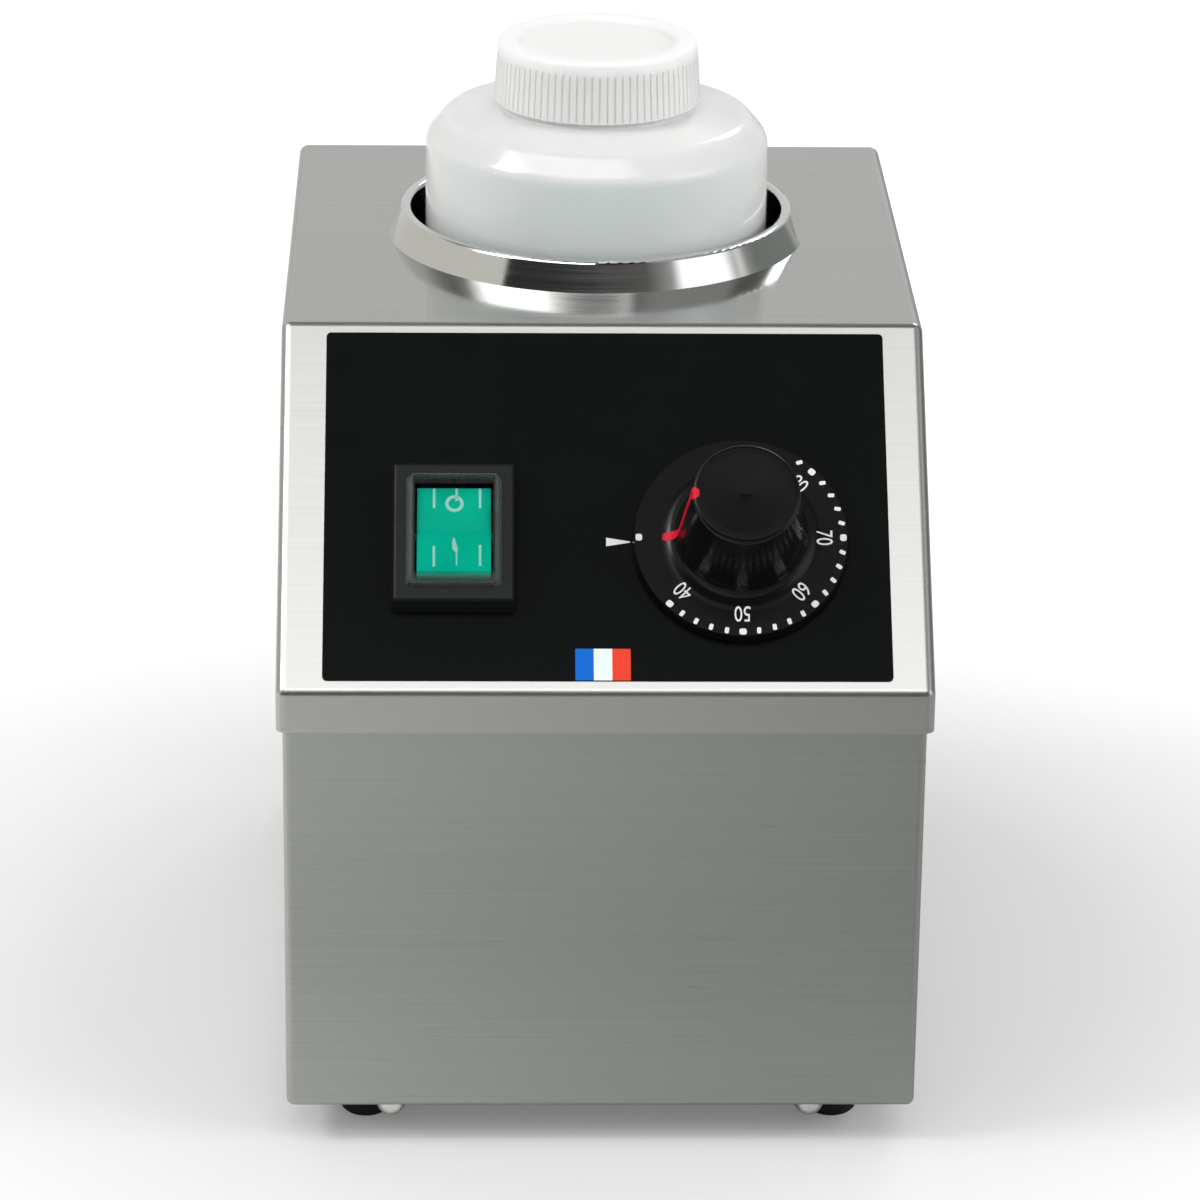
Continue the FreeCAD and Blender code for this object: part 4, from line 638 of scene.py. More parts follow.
class Graph(Nodes):
    """A geometry node tree with named inputs, turned to a plain mesh when it is run."""

    def __init__(self, name, **values):
        super().__init__(bpy.data.node_groups.new(name, "GeometryNodeTree"))
        self.tree.interface.new_socket("Geometry", in_out="OUTPUT", socket_type="NodeSocketGeometry")
        self.source = self.tree.nodes.new("NodeGroupInput")
        self.sink = self.tree.nodes.new("NodeGroupOutput")
        self.values = {}
        for label, value in values.items():
            socket = self.tree.interface.new_socket(label.replace("_", " "), in_out="INPUT",
                                                    socket_type="NodeSocket" + INPUT_KINDS[type(value)])
            self.values[socket.identifier] = value

    def __getitem__(self, name):
        """A named input, whose value is set on the modifier by the socket's identifier."""
        return self.source.outputs[name]

    def vector(self, x=0.0, y=0.0, z=0.0):
        return self.node("CombineXYZ", X=x, Y=y, Z=z).outputs[0]

    def sweep(self, path, radius):
        """A round bar of eight sides along a curve."""
        profile = self.node("CurvePrimitiveCircle", Resolution=8, Radius=radius)
        return self.node("CurveToMesh", Curve=path.outputs[0], Profile_Curve=profile.outputs[0],
                         Fill_Caps=True)

    def copies(self, points, shape, rotation=(0.0, 0.0, 0.0)):
        """A shape on each point."""
        return self.node("InstanceOnPoints", Points=points.outputs[0], Instance=shape.outputs[0],
                         Rotation=rotation)

    def joined(self, shapes):
        """Several shapes as one geometry."""
        both = self.node("JoinGeometry")
        for shape in shapes:
            self.feed(both.inputs[0], shape.outputs[0])
        return both

    def copies_around(self, number, shape, material):
        """Evenly spaced copies of a shape about the upright axis, as a plain mesh."""
        points = self.node("MeshLine", Count=number, Offset=(0.0, 0.0, 0.0))
        index = self.node("InputIndex").outputs[0]
        around = self.math("DIVIDE", self.math("MULTIPLY", index, 2 * math.pi), number)
        return self.finish(self.copies(points, shape, self.vector(0.0, 0.0, around)), material)

    def finish(self, shape, material):
        """Realize the instances, set the material and return the plain mesh."""
        real = self.node("RealizeInstances", Geometry=shape.outputs[0])
        painted = self.node("SetMaterial", Geometry=real.outputs[0], Material=material)
        self.feed(self.sink.inputs[0], painted.outputs[0])
        holder = bpy.data.objects.new(self.tree.name, bpy.data.meshes.new(self.tree.name + "_start"))
        bpy.context.scene.collection.objects.link(holder)
        modifier = holder.modifiers.new("graph", "NODES")
        modifier.node_group = self.tree
        for identifier, value in self.values.items():
            modifier[identifier] = value
        view_layer = bpy.context.evaluated_depsgraph_get()
        mesh = bpy.data.meshes.new_from_object(holder.evaluated_get(view_layer), depsgraph=view_layer)
        holder.modifiers.remove(modifier)
        bpy.data.objects.remove(holder)
        if not mesh.polygons:
            raise RuntimeError("%s made no faces" % self.tree.name)
        return mesh


def one_mesh(name, meshes, sharp_degrees=None):
    """Several meshes as one, with their normals pointing outwards."""
    work = bmesh.new()
    for mesh in meshes:
        work.from_mesh(mesh)
    bmesh.ops.recalc_face_normals(work, faces=work.faces)
    joined = bpy.data.meshes.new(name)
    work.to_mesh(joined)
    work.free()
    if sharp_degrees is not None:
        smooth(joined, sharp_degrees)
    return joined


def ring_of_ribs(name, count, start, end, ridge, material):
    """Round ridges about an upright axis, each from one (radius, height) to another."""
    graph = Graph(name, Count=count, Low_radius=start[0], Low_height=start[1], High_radius=end[0],
                  High_height=end[1], Ridge_radius=ridge, Finish=finish_named(material))
    low = graph.vector(graph["Low radius"], 0.0, graph["Low height"])
    high = graph.vector(graph["High radius"], 0.0, graph["High height"])
    line = graph.node("CurvePrimitiveLine", Start=low, End=high)
    mesh = graph.copies_around(graph["Count"], graph.sweep(line, graph["Ridge radius"]), graph["Finish"])
    return one_mesh(name, [mesh], 50.0)


# The panel's own frame, read from the dial's joint

class Panel:
    """The sloped panel's directions, its film's thickness and the dial's place down from its bend."""
    sheet = 0.4 * MM
    dial_down = 60.2 * MM

    def __init__(self):
        turn = JOINTS["knob_turn"]
        self.dial = Vector(turn["pos_m"])
        self.out = -Vector(turn["axis"]).normalized()
        self.right = Vector((1.0, 0.0, 0.0))
        self.up = self.out.cross(self.right).normalized()

    def point(self, x, down):
        """A spot by its x and its distance down the slope from the top bend."""
        return self.dial + self.right * (x - self.dial.x) + self.up * (self.dial_down - down)

    def matrix(self, place=None):
        """Local x to the right, y up the slope and z out of the panel, at the dial or a place."""
        columns = Matrix((self.right, self.up, self.out)).transposed().to_4x4()
        return Matrix.Translation(self.dial if place is None else place) @ columns


def prism(outline, low, high):
    """Vertices and faces of a flat outline drawn out from one height to another."""
    count = len(outline)
    vertices = [(x, y, low) for x, y in outline] + [(x, y, high) for x, y in outline]
    faces = [list(range(count)), [index + count for index in reversed(range(count))]]
    for index in range(count):
        following = (index + 1) % count
        faces.append([index, following, following + count, index + count])
    return vertices, faces


def circle(x, y, radius, steps=40):
    return [(x + radius * math.cos(2 * math.pi * step / steps),
             y + radius * math.sin(2 * math.pi * step / steps)) for step in range(steps)]


def box_outline(left, bottom, right, top):
    return [(left, bottom), (right, bottom), (right, top), (left, top)]


def join(shapes):
    """Several (vertices, faces) pairs as one."""
    vertices = []
    faces = []
    for more_vertices, more_faces in shapes:
        start = len(vertices)
        vertices += more_vertices
        faces += [[index + start for index in face] for face in more_faces]
    return vertices, faces


# Operators

class WARMER_OT_finishes(bpy.types.Operator):
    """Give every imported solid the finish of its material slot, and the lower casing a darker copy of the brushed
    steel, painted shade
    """
    bl_idname = "warmer.finishes"
    bl_label = "Finishes"

    def execute(self, context):
        slots = {item["node"]: item["material_slot"] for item in frame["record"]["subparts"]}
        # Painted shade: the lower casing gets a darker copy of the brushed steel
        slots["lower_casing"] = "brushed_casing"
        for node, solid in NODES.items():
            solid.data.materials.clear()
            solid.data.materials.append(finish_named(slots[node]))
        return {"FINISHED"}


class WARMER_OT_overlay_print(bpy.types.Operator):
    """Print the three stripes and the dial's index on the overlay"""
    bl_idname = "warmer.overlay_print"
    bl_label = "Overlay print"

    def execute(self, context):
        ink_sizes = sizes("print")
        panel = Panel()
        low = panel.sheet - SINK / 5
        high = panel.sheet + ink_sizes.thickness
        shapes = []
        marks = []
        for index in range(3):
            left = ink_sizes.stripe_left + index * ink_sizes.stripe_width
            outline = box_outline(left, -ink_sizes.stripe_bottom, left + ink_sizes.stripe_width,
                                  -ink_sizes.stripe_top)
            shapes.append(prism(outline, low, high))
            marks += [index] * 6
        vertices, faces = join(shapes)
        mesh = bpy.data.meshes.new("overlay_stripes")
        mesh.from_pydata(vertices, [], faces)
        place = panel.matrix(panel.point(0.0, 0.0))
        add_piece("overlay_stripes", mesh, "housing",
                  ("stripe_blue", "stripe_white", "stripe_red"), place)
        for face, mark in zip(mesh.polygons, marks):
            face.material_index = mark
        half = ink_sizes.index_height / 2
        tip = half * 0.12
        middle = -ink_sizes.index_down
        wedge = [(ink_sizes.index_left, middle - half), (ink_sizes.index_right, middle - tip),
                 (ink_sizes.index_right, middle + tip), (ink_sizes.index_left, middle + half)]
        mesh = mesh_from("dial_index", *prism(wedge, low, high))
        add_piece("dial_index", mesh, "housing", ("white_ink",), place)
        return {"FINISHED"}


def dial_outline():
    """The dial's outer profile from the rim of its skirt to the middle of its top."""
    dial = sizes("dial")
    points = [(dial.skirt_radius, dial.skirt_start), (dial.face_radius, dial.plane),
              (dial.foot_radius, dial.plane)]
    fillet = dial.base_height - dial.plane
    steps = 10
    for step in range(1, steps + 1):
        around = math.pi / 2 * step / steps
        points.append((dial.foot_radius - (dial.foot_radius - dial.base_radius) * math.sin(around),
                       dial.plane + fillet * (1 - math.cos(around))))
    lean = (dial.top_radius - dial.base_radius) / (dial.top - dial.base_height)
    shoulder = dial.top - dial.round
    points.append((dial.top_radius - lean * dial.round, shoulder))
    for step in range(1, 7):
        around = math.pi / 2 * step / 6
        points.append((dial.top_radius - dial.round * (1 - math.cos(around)),
                       shoulder + dial.round * math.sin(around)))
    points.append((0.0, dial.top - 0.5 * MM))
    return points


def height_on_dial(radius):
    """The height of the dial's surface at a radius."""
    points = dial_outline()
    for (outer, low), (inner, high) in zip(points, points[1:]):
        if inner <= radius <= outer and outer > inner:
            return low + (high - low) * (outer - radius) / (outer - inner)
    return points[0][1]


class WARMER_OT_dial_dots(bpy.types.Operator):
    """Print the ring of dots on the dial's skirt"""
    bl_idname = "warmer.dial_dots"
    bl_label = "Dial dots"

    def execute(self, context):
        ink_sizes = sizes("print")
        dial = sizes("dial")
        panel = Panel()
        wide = self.dots("large", ink_sizes.dot_wide, 0.0, 45.0, 6, False)
        slim = self.dots("small", ink_sizes.dot_slim, 54.0, 9.0, 21, True)
        mesh = one_mesh("dial_dots", [wide, slim])
        place = panel.matrix(panel.dial + panel.out * dial.plane)
        add_piece("dial_dots", mesh, "knob", ("white_ink",), place)
        return {"FINISHED"}

    def dots(self, label, width, first_degrees, step_degrees, count, gaps):
        """Rounded dots around a ring, each turned to the middle; gaps leaves out every fifth."""
        ink_sizes = sizes("print")
        sunk = 0.02 * MM
        graph = Graph("dial_dots_" + label, Count=count, Ring_radius=ink_sizes.dot_ring,
                      First_angle=math.radians(180.0 + first_degrees), Step=math.radians(step_degrees),
                      Dot_length=ink_sizes.dot_long, Dot_width=width,
                      Ink_thickness=ink_sizes.thickness + sunk, Ink=finish_named("white_ink"))
        radius = graph["Ring radius"]
        points = graph.node("MeshLine", Count=graph["Count"])
        index = graph.node("InputIndex").outputs[0]
        around = graph.math("ADD", graph.math("MULTIPLY", index, graph["Step"]), graph["First angle"])
        place = graph.vector(graph.math("MULTIPLY", graph.math("COSINE", around), radius),
                             graph.math("MULTIPLY", graph.math("SINE", around), radius), -sunk)
        kept = graph.node("SetPosition", Geometry=points.outputs[0], Position=place)
        if gaps:
            every = graph.math("MODULO", graph.math("ADD", index, 1.0), 5.0)
            kept = graph.node("DeleteGeometry", Geometry=kept.outputs[0],
                              Selection=graph.math("LESS_THAN", every, 0.5))
        outline = graph.node("CurvePrimitiveQuadrilateral", Width=graph["Dot length"],
                             Height=graph["Dot width"])
        soft = graph.node("FilletCurve", mode="POLY", Curve=outline.outputs[0],
                          Radius=graph.math("MULTIPLY", graph["Dot width"], 0.3), Count=3)
        face = graph.node("FillCurve", mode="NGONS", Curve=soft.outputs[0])
        flipped = graph.node("FlipFaces", Mesh=face.outputs[0])
        drawn = graph.node("ExtrudeMesh", Mesh=face.outputs[0], Offset_Scale=graph["Ink thickness"],
                           Individual=False)
        closed = graph.joined((flipped, drawn))
        dot = graph.node("MergeByDistance", Geometry=closed.outputs[0], Distance=1e-6)
        return graph.finish(graph.copies(kept, dot, graph.vector(0.0, 0.0, around)), graph["Ink"])


class WARMER_OT_dial_numbers(bpy.types.Operator):
    """Print the numbers on the dial's skirt, their tops outwards"""
    bl_idname = "warmer.dial_numbers"
    bl_label = "Dial numbers"
    narrow = 0.74

    def execute(self, context):
        dial = sizes("dial")
        shapes = []
        for index, label in enumerate(("40", "50", "60", "70", "80")):
            around = math.pi + dial.first_mark + dial.mark_step * index
            shapes.append(self.digits(label, around, sizes("print")))
        mesh = mesh_from("dial_numbers", *join(shapes))
        add_piece("dial_numbers", mesh, "knob", ("white_ink",), Panel().matrix())
        return {"FINISHED"}

    def digits(self, label, around, ink_sizes):
        """A number laid on the dial's surface, its middle at an angle and its top outwards."""
        curve = bpy.data.curves.new("number_" + label, "FONT")
        curve.body = label
        curve.size = 1.0
        curve.extrude = 0.1
        curve.resolution_u = 6
        curve.align_x = "CENTER"
        holder = bpy.data.objects.new("number_" + label, curve)
        bpy.context.scene.collection.objects.link(holder)
        view_layer = bpy.context.evaluated_depsgraph_get()
        flat = bpy.data.meshes.new_from_object(holder.evaluated_get(view_layer), depsgraph=view_layer)
        bpy.data.objects.remove(holder)
        tall = [vertex.co.y for vertex in flat.vertices]
        scale = ink_sizes.digit_height / (max(tall) - min(tall))
        middle = (max(tall) + min(tall)) / 2
        vertices = []
        for vertex in flat.vertices:
            outward = ink_sizes.digit_radius + (vertex.co.y - middle) * scale
            sideways = vertex.co.x * scale * self.narrow
            x = outward * math.cos(around) + sideways * math.sin(around)
            y = outward * math.sin(around) - sideways * math.cos(around)
            lift = ink_sizes.thickness if vertex.co.z > 0 else -SINK
            vertices.append((x, y, height_on_dial(math.hypot(x, y)) + lift))
        return vertices, [list(face.vertices) for face in flat.polygons]


class WARMER_OT_dial_pointer(bpy.types.Operator):
    """Lay the red pointer up the side of the dial's grip"""
    bl_idname = "warmer.dial_pointer"
    bl_label = "Dial pointer"

    def execute(self, context):
        ink_sizes = sizes("print")
        path = self.path(ink_sizes)
        vertices = []
        for place, out, width in path:
            for lift in (-2 * SINK, ink_sizes.thickness + SINK):
                spot = place + out * lift
                for side in (-1, 1):
                    vertices.append((-spot[0], side * width / 2, spot[1]))
        faces = [[0, 1, 3, 2]]
        count = len(path)
        for step in range(count - 1):
            near = step * 4
            far = near + 4
            faces += [[near, near + 1, far + 1, far], [near + 2, far + 2, far + 3, near + 3],
                      [near, far, far + 2, near + 2], [near + 1, near + 3, far + 3, far + 1]]
        last = (count - 1) * 4
        faces.append([last, last + 2, last + 3, last + 1])
        mesh = mesh_from("dial_pointer", vertices, faces, 40.0)
        add_piece("dial_pointer", mesh, "knob", ("red_ink",), Panel().matrix())
        return {"FINISHED"}

    def path(self, ink_sizes):
        """Spots along the dial's profile with their normal and the pointer's width there."""
        pace = 0.25 * MM
        foot_overlap = 0.2 * MM
        top_overlap = 2.2 * MM
        points = [Vector(point) for point in dial_outline()]
        dense = []
        for start, end in zip(points, points[1:]):
            pieces = max(1, int((end - start).length / pace))
            dense += [start.lerp(end, step / pieces) for step in range(pieces)]
        dial = sizes("dial")
        chosen = [spot for spot in dense
                  if spot.x <= dial.foot_radius + foot_overlap
                  and (spot.x >= dial.top_radius - top_overlap or spot.y < dial.top - dial.round)]
        path = []
        for index in range(1, len(chosen) - 1):
            along = (chosen[index + 1] - chosen[index - 1]).normalized()
            out = Vector((along.y, -along.x))
            path.append((chosen[index], out, self.width_at(chosen[index], dial, ink_sizes)))
        return path

    def width_at(self, spot, dial, ink_sizes):
        """A dot on the grip's top edge, a narrow line and a long blob on the fillet."""
        line = ink_sizes.pointer_width
        blob_width = 2.3 * MM
        hair = 0.3 * MM
        inset = 0.4 * MM
        blob_middle = (dial.foot_radius + dial.base_radius) / 2
        if spot.y < dial.base_height:
            reach = abs(spot.x - blob_middle) / (dial.foot_radius - blob_middle + hair)
            return max(line * 0.9, blob_width * math.sqrt(max(0.0, 1.0 - reach * reach)))
        top_edge = Vector((dial.top_radius - inset, dial.top - inset))
        reach = (spot - top_edge).length / ink_sizes.pointer_dot
        if reach < 1.0:
            return max(line, 2 * ink_sizes.pointer_dot * math.sqrt(1.0 - reach * reach))
        return line if spot.y < dial.top - dial.round else hair


class WARMER_OT_rocker_marks(bpy.types.Operator):
    """Print the on and off marks on the rocker, with painted glints as bars beside them"""
    bl_idname = "warmer.rocker_marks"
    bl_label = "Rocker marks"

    def execute(self, context):
        end_reach = 12.4 * MM
        end_rise = 4.2 * MM
        valley = 0.9 * MM
        half_length = math.sqrt(end_reach * end_reach - end_rise * end_rise)
        x, y, outer, inner = [part * MM for part in ROCKER_RING]
        outside = circle(x, y, outer)
        inside = circle(x, y, inner)
        outlines = [[outside[step - 1], outside[step], inside[step], inside[step - 1]]
                    for step in range(len(outside))]
        # The bars beside the middle one are painted glints
        for x, y_low, y_high in ROCKER_BARS_AND_GLINTS:
            outlines.append(box_outline((x - ROCKER_BAR_HALF) * MM, y_low * MM,
                                        (x + ROCKER_BAR_HALF) * MM, y_high * MM))
        outlines.append([(x * MM, y * MM) for x, y in ROCKER_BLADE])
        vertices, faces = join([prism(outline, -SINK, sizes("print").thickness) for outline in outlines])
        vertices = [(x, y, z + end_rise - valley + valley * abs(y) / half_length) for x, y, z in vertices]
        tilt = Matrix.Rotation(math.radians(ROCKER_REST_DEGREES), 4, "X")
        place = Panel().matrix(Vector(JOINTS["rocker_tilt"]["pos_m"])) @ tilt
        mesh = mesh_from("rocker_marks", vertices, faces)
        add_piece("rocker_marks", mesh, "rocker", ("pale_ink",), place)
        return {"FINISHED"}


class WARMER_OT_bottle(bpy.types.Operator):
    """Make the blow-moulded bottle with its crisp shoulder, and the thread on its neck"""
    bl_idname = "warmer.bottle"
    bl_label = "Bottle"

    def execute(self, context):
        bottle = sizes("bottle")
        low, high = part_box("bottle")
        centre = ((low.x + high.x) / 2, (low.y + high.y) / 2)
        ring_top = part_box("bottle_cap")[0].z - bottle.cap_gap
        mesh = lathe("bottle_shell", self.outline(bottle, low, high, ring_top), centre)
        shell = add_piece("bottle_shell", mesh, "bottle", ("natural_polyethylene",))
        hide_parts("bottle")
        start = ring_top + 3 * bottle.thread_ridge
        rise = high.z - 2 * bottle.thread_ridge - start
        thread = one_mesh("neck_thread", [self.thread(bottle, rise)], 40.0)
        add_piece("neck_thread", thread, "bottle", ("natural_polyethylene",),
                  Matrix.Translation((*centre, start)))
        return {"FINISHED"}

    def outline(self, bottle, low, high, ring_top):
        """The bottle's profile from the middle of its foot up the outside and down the inside."""
        radius = (high.x - low.x) / 2
        wall = bottle.wall
        ring = bottle.neck_radius + bottle.ring_width
        ring_low = ring_top - bottle.ring_height
        bore = bottle.neck_radius - bottle.neck_wall
        soft = 0.3 * MM
        outside = [(radius, low.z, bottle.foot_round), (radius, bottle.wall_top, bottle.wall_round),
                   (bottle.edge_radius, bottle.edge_height, bottle.edge_round)]
        neck = [(ring, ring_low, 2 * wall), (ring, ring_top, soft), (bottle.neck_radius, ring_top, soft),
                (bottle.neck_radius, high.z, soft), (bore, high.z, soft), (bore, ring_low - wall, 2 * wall)]
        inside = [(bottle.edge_radius - wall / 2, bottle.edge_height - wall, bottle.edge_round),
                  (radius - wall, bottle.wall_top, bottle.wall_round),
                  (radius - wall, low.z + wall, bottle.foot_round)]
        return rounded([(0.0, low.z, 0.0)] + outside + neck + inside + [(0.0, low.z + wall, 0.0)])

    def thread(self, bottle, rise):
        """Right-handed round ridges that wind up the neck, sunk in it but for their height."""
        radius = bottle.neck_radius + bottle.thread_proud - bottle.thread_ridge
        graph = Graph("neck_thread", Starts=bottle.thread_starts, Rise=rise,
                      Turns=rise / bottle.thread_lead, Radius=radius, Ridge_radius=bottle.thread_ridge,
                      Finish=finish_named("natural_polyethylene"))
        spiral = graph.node("CurveSpiral", Resolution=48, Rotations=graph["Turns"], Height=graph["Rise"],
                            Start_Radius=graph["Radius"], End_Radius=graph["Radius"], Reverse=True)
        ridge = graph.sweep(spiral, graph["Ridge radius"])
        return graph.copies_around(graph["Starts"], ridge, graph["Finish"])


class WARMER_OT_ribs(bpy.types.Operator):
    """Put the grip ribs on the bottle's cap and on the cable gland's nut"""
    bl_idname = "warmer.ribs"
    bl_label = "Ribs"

    def execute(self, context):
        bottle = sizes("bottle")
        low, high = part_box("bottle_cap")
        radius = (high.x - low.x) / 2
        slope = bottle.cap_draft / (high.z - low.z)
        sunk = bottle.rib_radius - bottle.rib_proud
        start = 0.5 * MM
        end = high.z - low.z - bottle.cap_rim
        mesh = ring_of_ribs("cap_ribs", bottle.cap_ribs, (radius - slope * start - sunk, start),
                            (radius - slope * end - sunk, end), bottle.rib_radius, "white_polyethylene")
        foot = Matrix.Translation(((low.x + high.x) / 2, (low.y + high.y) / 2, low.z))
        add_piece("cap_ribs", mesh, "cap", ("white_polyethylene",), foot)
        low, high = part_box("gland_dome_nut")
        radius = (high.x - low.x) / 2 - bottle.rib_radius / 2
        mesh = ring_of_ribs("gland_ribs", bottle.nut_ribs, (radius, 0.3 * MM),
                            (radius, high.y - low.y - bottle.nut_bevel), bottle.rib_radius, "black_plastic")
        lie_back = Matrix.Rotation(math.radians(-90.0), 4, "X")
        place = Matrix.Translation(((low.x + high.x) / 2, low.y, (low.z + high.z) / 2)) @ lie_back
        add_piece("gland_ribs", mesh, "housing", ("black_plastic",), place)
        return {"FINISHED"}


class WARMER_OT_screw_crosses(bpy.types.Operator):
    """Lay dark crosses in the heads of the rear screws and the foot screws, painted shade for their cross recesses
    """
    bl_idname = "warmer.screw_crosses"
    bl_label = "Screw crosses"

    def execute(self, context):
        low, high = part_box("rear_screws")
        head = 3.6 * MM
        crown = high.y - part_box("hood")[1].y
        panel_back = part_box("rear_panel")[1].y + crown
        rows = [[(x, back, z) for x in (low.x + head, high.x - head)]
                for back, z in ((high.y, high.z - head), (panel_back, low.z + head))]
        self.crosses("rear_screw_crosses", rows, Matrix.Rotation(math.radians(90.0), 3, "X"))
        low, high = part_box("foot_screws")
        rows = [[(x, y, low.z) for x in (low.x + head, high.x - head)]
                for y in (low.y + head, high.y - head)]
        self.crosses("foot_screw_crosses", rows, Matrix.Identity(3))
        return {"FINISHED"}

    def crosses(self, name, rows, turn):
        """Dark crosses in a pair of heads for each row, painted shade for the recesses, their arms in the turned
        level plane.
        """
        meshes = []
        for index, (start, end) in enumerate(rows):
            graph = Graph("%s_%d" % (name, index), First=turn.inverted() @ Vector(start),
                          Step=turn.inverted() @ (Vector(end) - Vector(start)), Arm_length=3.6 * MM,
                          Arm_width=0.75 * MM, Depth=0.1 * MM, Finish=finish_named("recess"))
            points = graph.node("MeshLine", Count=2, Start_Location=graph["First"], Offset=graph["Step"])
            long, wide, deep = graph["Arm length"], graph["Arm width"], graph["Depth"]
            deeper = graph.math("MULTIPLY", deep, 1.1)
            bar = graph.node("MeshCube", Size=graph.vector(long, wide, deep))
            beam = graph.node("MeshCube", Size=graph.vector(wide, long, deeper))
            cross = graph.copies(points, graph.joined((bar, beam)))
            meshes.append(graph.finish(cross, graph["Finish"]))
        mesh = one_mesh(name, meshes)
        add_piece(name, mesh, "housing", ("recess",), turn.to_4x4())


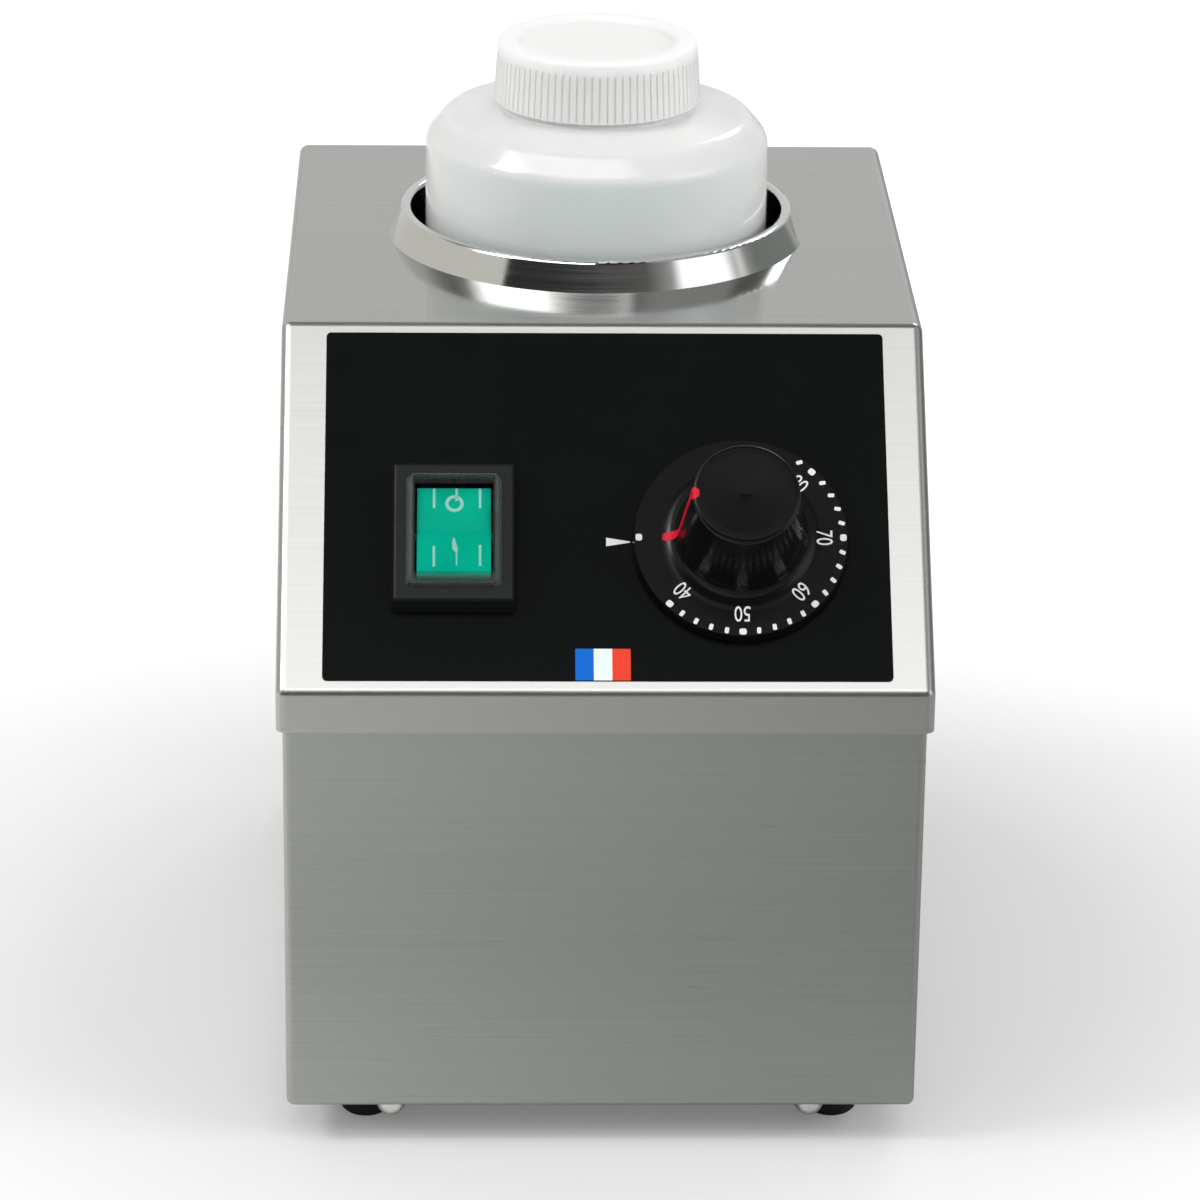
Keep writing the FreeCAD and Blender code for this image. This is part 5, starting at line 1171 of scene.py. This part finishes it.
class WARMER_OT_stage(bpy.types.Operator):
    """Set up the floor, the lamps, the room and the camera"""
    bl_idname = "warmer.stage"
    bl_label = "Stage"

    def execute(self, context):
        lights = sizes("lights")
        context.scene.view_settings.view_transform = "Standard"
        self.floor()
        self.room(lights)
        for name, (turn, rise, width, height, kind, glossy) in LAMPS.items():
            lamp = self.lamp(name, math.radians(turn), math.radians(rise), width, height)
            lamp.data.energy = getattr(lights, kind)
            lamp.visible_glossy = glossy
        self.camera(lights)
        return {"FINISHED"}

    def floor(self):
        """A wide pale floor that keeps the object's shadow, with painted shade where its glow is lower near the
        object; steel mirrors it as a grey card.
        """
        mesh = bpy.data.meshes.new("studio_floor")
        corners = box_outline(-FLOOR_REACH, -FLOOR_REACH, FLOOR_REACH, FLOOR_REACH)
        mesh.from_pydata([(x, y, 0.0) for x, y in corners], [], [(0, 1, 2, 3)])
        floor = bpy.data.objects.new("studio_floor", mesh)
        bpy.context.scene.collection.objects.link(floor)
        finish = Finish("studio_floor", (0.82, 0.82, 0.82), 0.9)
        path = finish.node("LightPath").outputs
        place = finish.node("TexCoord").outputs["Object"]
        spot = finish.split(place)
        card = finish.pair("VectorMath", "MULTIPLY",
                           finish.ramp(finish.span(spot["X"], *CARD_WIDTH), FLOOR_CARD),
                           finish.ramp(finish.span(spot["Y"], *CARD_AHEAD), FLOOR_DEPTH))
        finish.set(Specular_IOR_Level=0.0,
                   Base_Color=finish.blend(path["Is Glossy Ray"], finish.base, card))
        # Painted shade: the floor's glow is weaker near the object, which darkens the floor around it
        away = finish.node("VectorMath", operation="LENGTH")
        finish.feed(away.inputs[0], place)
        glow = finish.node("Emission", Strength=finish.span(away.outputs["Value"], *PAINTED_SHADE_REACH,
                                                            *GLOW_LEVEL_SHADED_NEAR))
        seen = finish.math("MAXIMUM", path["Is Camera Ray"], path["Is Transmission Ray"])
        mix = finish.node("MixShader", Fac=finish.math("MULTIPLY", seen, GLOW_SHARE))
        finish.feed(mix.inputs[1], finish.shader.outputs[0])
        finish.feed(mix.inputs[2], glow.outputs[0])
        finish.feed(finish.tree.nodes["Material Output"].inputs["Surface"], mix.outputs[0])
        mesh.materials.append(finish.material)

    def room(self, lights):
        """White where it is seen, a plain level where it lights, and studio cards where it is mirrored."""
        world = bpy.data.worlds.new("room")
        bpy.context.scene.world = world
        world.use_nodes = True
        nodes = Nodes(world.node_tree)
        x, y, z = nodes.split(nodes.node("TexCoord").outputs["Generated"])
        turn = nodes.span(nodes.math("ARCTAN2", x, nodes.math("MULTIPLY", y, -1.0)), -math.pi, math.pi)
        ring, sides = [nodes.ramp(turn, [(degrees / 360.0 + 0.5, shade) for degrees, shade in stops])
                       for stops in (ROOM_CARDS, ROOM_SIDES)]
        above = nodes.ramp(nodes.span(z, -1.0, 1.0), [(math.sin(math.radians(degrees)) / 2.0 + 0.5, shade)
                                                      for degrees, shade in ROOM_HEIGHTS])
        upper = nodes.pair("VectorMath", "MULTIPLY", above, sides)
        walls = nodes.span(z, *[math.sin(math.radians(degrees)) for degrees in CARDS_END])
        mirrored = nodes.blend(walls, ring, upper)
        path = nodes.node("LightPath").outputs
        seen = nodes.math("MAXIMUM", path["Is Camera Ray"], path["Is Transmission Ray"])
        plain = nodes.blend(seen, (lights.ambient,) * 3 + (1.0,), (1.0,) * 4)
        background = world.node_tree.nodes["Background"]
        nodes.feed(background.inputs["Color"], nodes.blend(path["Is Glossy Ray"], plain, mirrored))

    def lamp(self, name, turn, rise, width, height):
        """A soft lamp that no camera sees, by its turn to the right of the front and its height."""
        data = bpy.data.lights.new(name, "AREA")
        data.shape = "RECTANGLE"
        data.size = width
        data.size_y = height
        lamp = bpy.data.objects.new(name, data)
        away = Vector((math.sin(turn) * math.cos(rise), -math.cos(turn) * math.cos(rise), math.sin(rise)))
        lamp.location = Vector(LAMP_AIM) + away * LAMP_DISTANCE
        lamp.rotation_mode = "QUATERNION"
        lamp.rotation_quaternion = away.to_track_quat("Z", "Y")
        lamp.visible_camera = False
        bpy.context.scene.collection.objects.link(lamp)
        return lamp

    def camera(self, lights):
        """The photograph's viewing angle."""
        data = bpy.data.cameras.new("camera")
        data.sensor_width = SENSOR_WIDTH
        data.lens = lights.focus * SENSOR_WIDTH / IMAGE_SIZE
        data.clip_start = 0.05
        data.clip_end = 50.0
        camera = bpy.data.objects.new("camera", data)
        camera.location = (lights.camera_x, lights.camera_y, lights.camera_z)
        ahead = Vector((math.sin(lights.yaw) * math.cos(lights.pitch),
                        math.cos(lights.yaw) * math.cos(lights.pitch), -math.sin(lights.pitch)))
        right = Vector((math.cos(lights.yaw), -math.sin(lights.yaw), 0.0))
        up = right.cross(ahead)
        tilted = right * math.cos(lights.roll) + up * math.sin(lights.roll)
        raised = up * math.cos(lights.roll) - right * math.sin(lights.roll)
        camera.rotation_mode = "QUATERNION"
        camera.rotation_quaternion = Matrix((tilted, raised, -ahead)).transposed().to_quaternion()
        bpy.context.scene.collection.objects.link(camera)
        bpy.context.scene.camera = camera


OPERATORS = (
    WARMER_OT_finishes,
    WARMER_OT_overlay_print,
    WARMER_OT_dial_dots,
    WARMER_OT_dial_numbers,
    WARMER_OT_dial_pointer,
    WARMER_OT_rocker_marks,
    WARMER_OT_bottle,
    WARMER_OT_ribs,
    WARMER_OT_screw_crosses,
    WARMER_OT_stage,
)


class WARMER_PT_panel(bpy.types.Panel):
    """Lists the warmer's operators and sizes in the sidebar."""
    bl_idname = "WARMER_PT_panel"
    bl_label = "Chocolate warmer"
    bl_space_type = "VIEW_3D"
    bl_region_type = "UI"
    bl_category = "Warmer"

    def draw(self, context):
        layout = self.layout
        for group in GROUPS:
            box = layout.box()
            for name in getattr(context.scene, group).bl_rna.properties.keys():
                if name not in ("rna_type", "name"):
                    box.prop(getattr(context.scene, group), name)
        for operator in OPERATORS:
            layout.operator(operator.bl_idname)


def register():
    for group, kind in GROUPS.items():
        bpy.utils.register_class(kind)
        setattr(bpy.types.Scene, group, bpy.props.PointerProperty(type=kind))
    for operator in OPERATORS:
        bpy.utils.register_class(operator)
    bpy.utils.register_class(WARMER_PT_panel)


def unregister():
    bpy.utils.unregister_class(WARMER_PT_panel)
    for operator in reversed(OPERATORS):
        bpy.utils.unregister_class(operator)
    for group, kind in GROUPS.items():
        delattr(bpy.types.Scene, group)
        bpy.utils.unregister_class(kind)


def main():
    """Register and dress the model."""
    register()
    for operator in OPERATORS:
        family, name = operator.bl_idname.split(".")
        getattr(getattr(bpy.ops, family), name)()


if __name__ == "__main__":
    main()
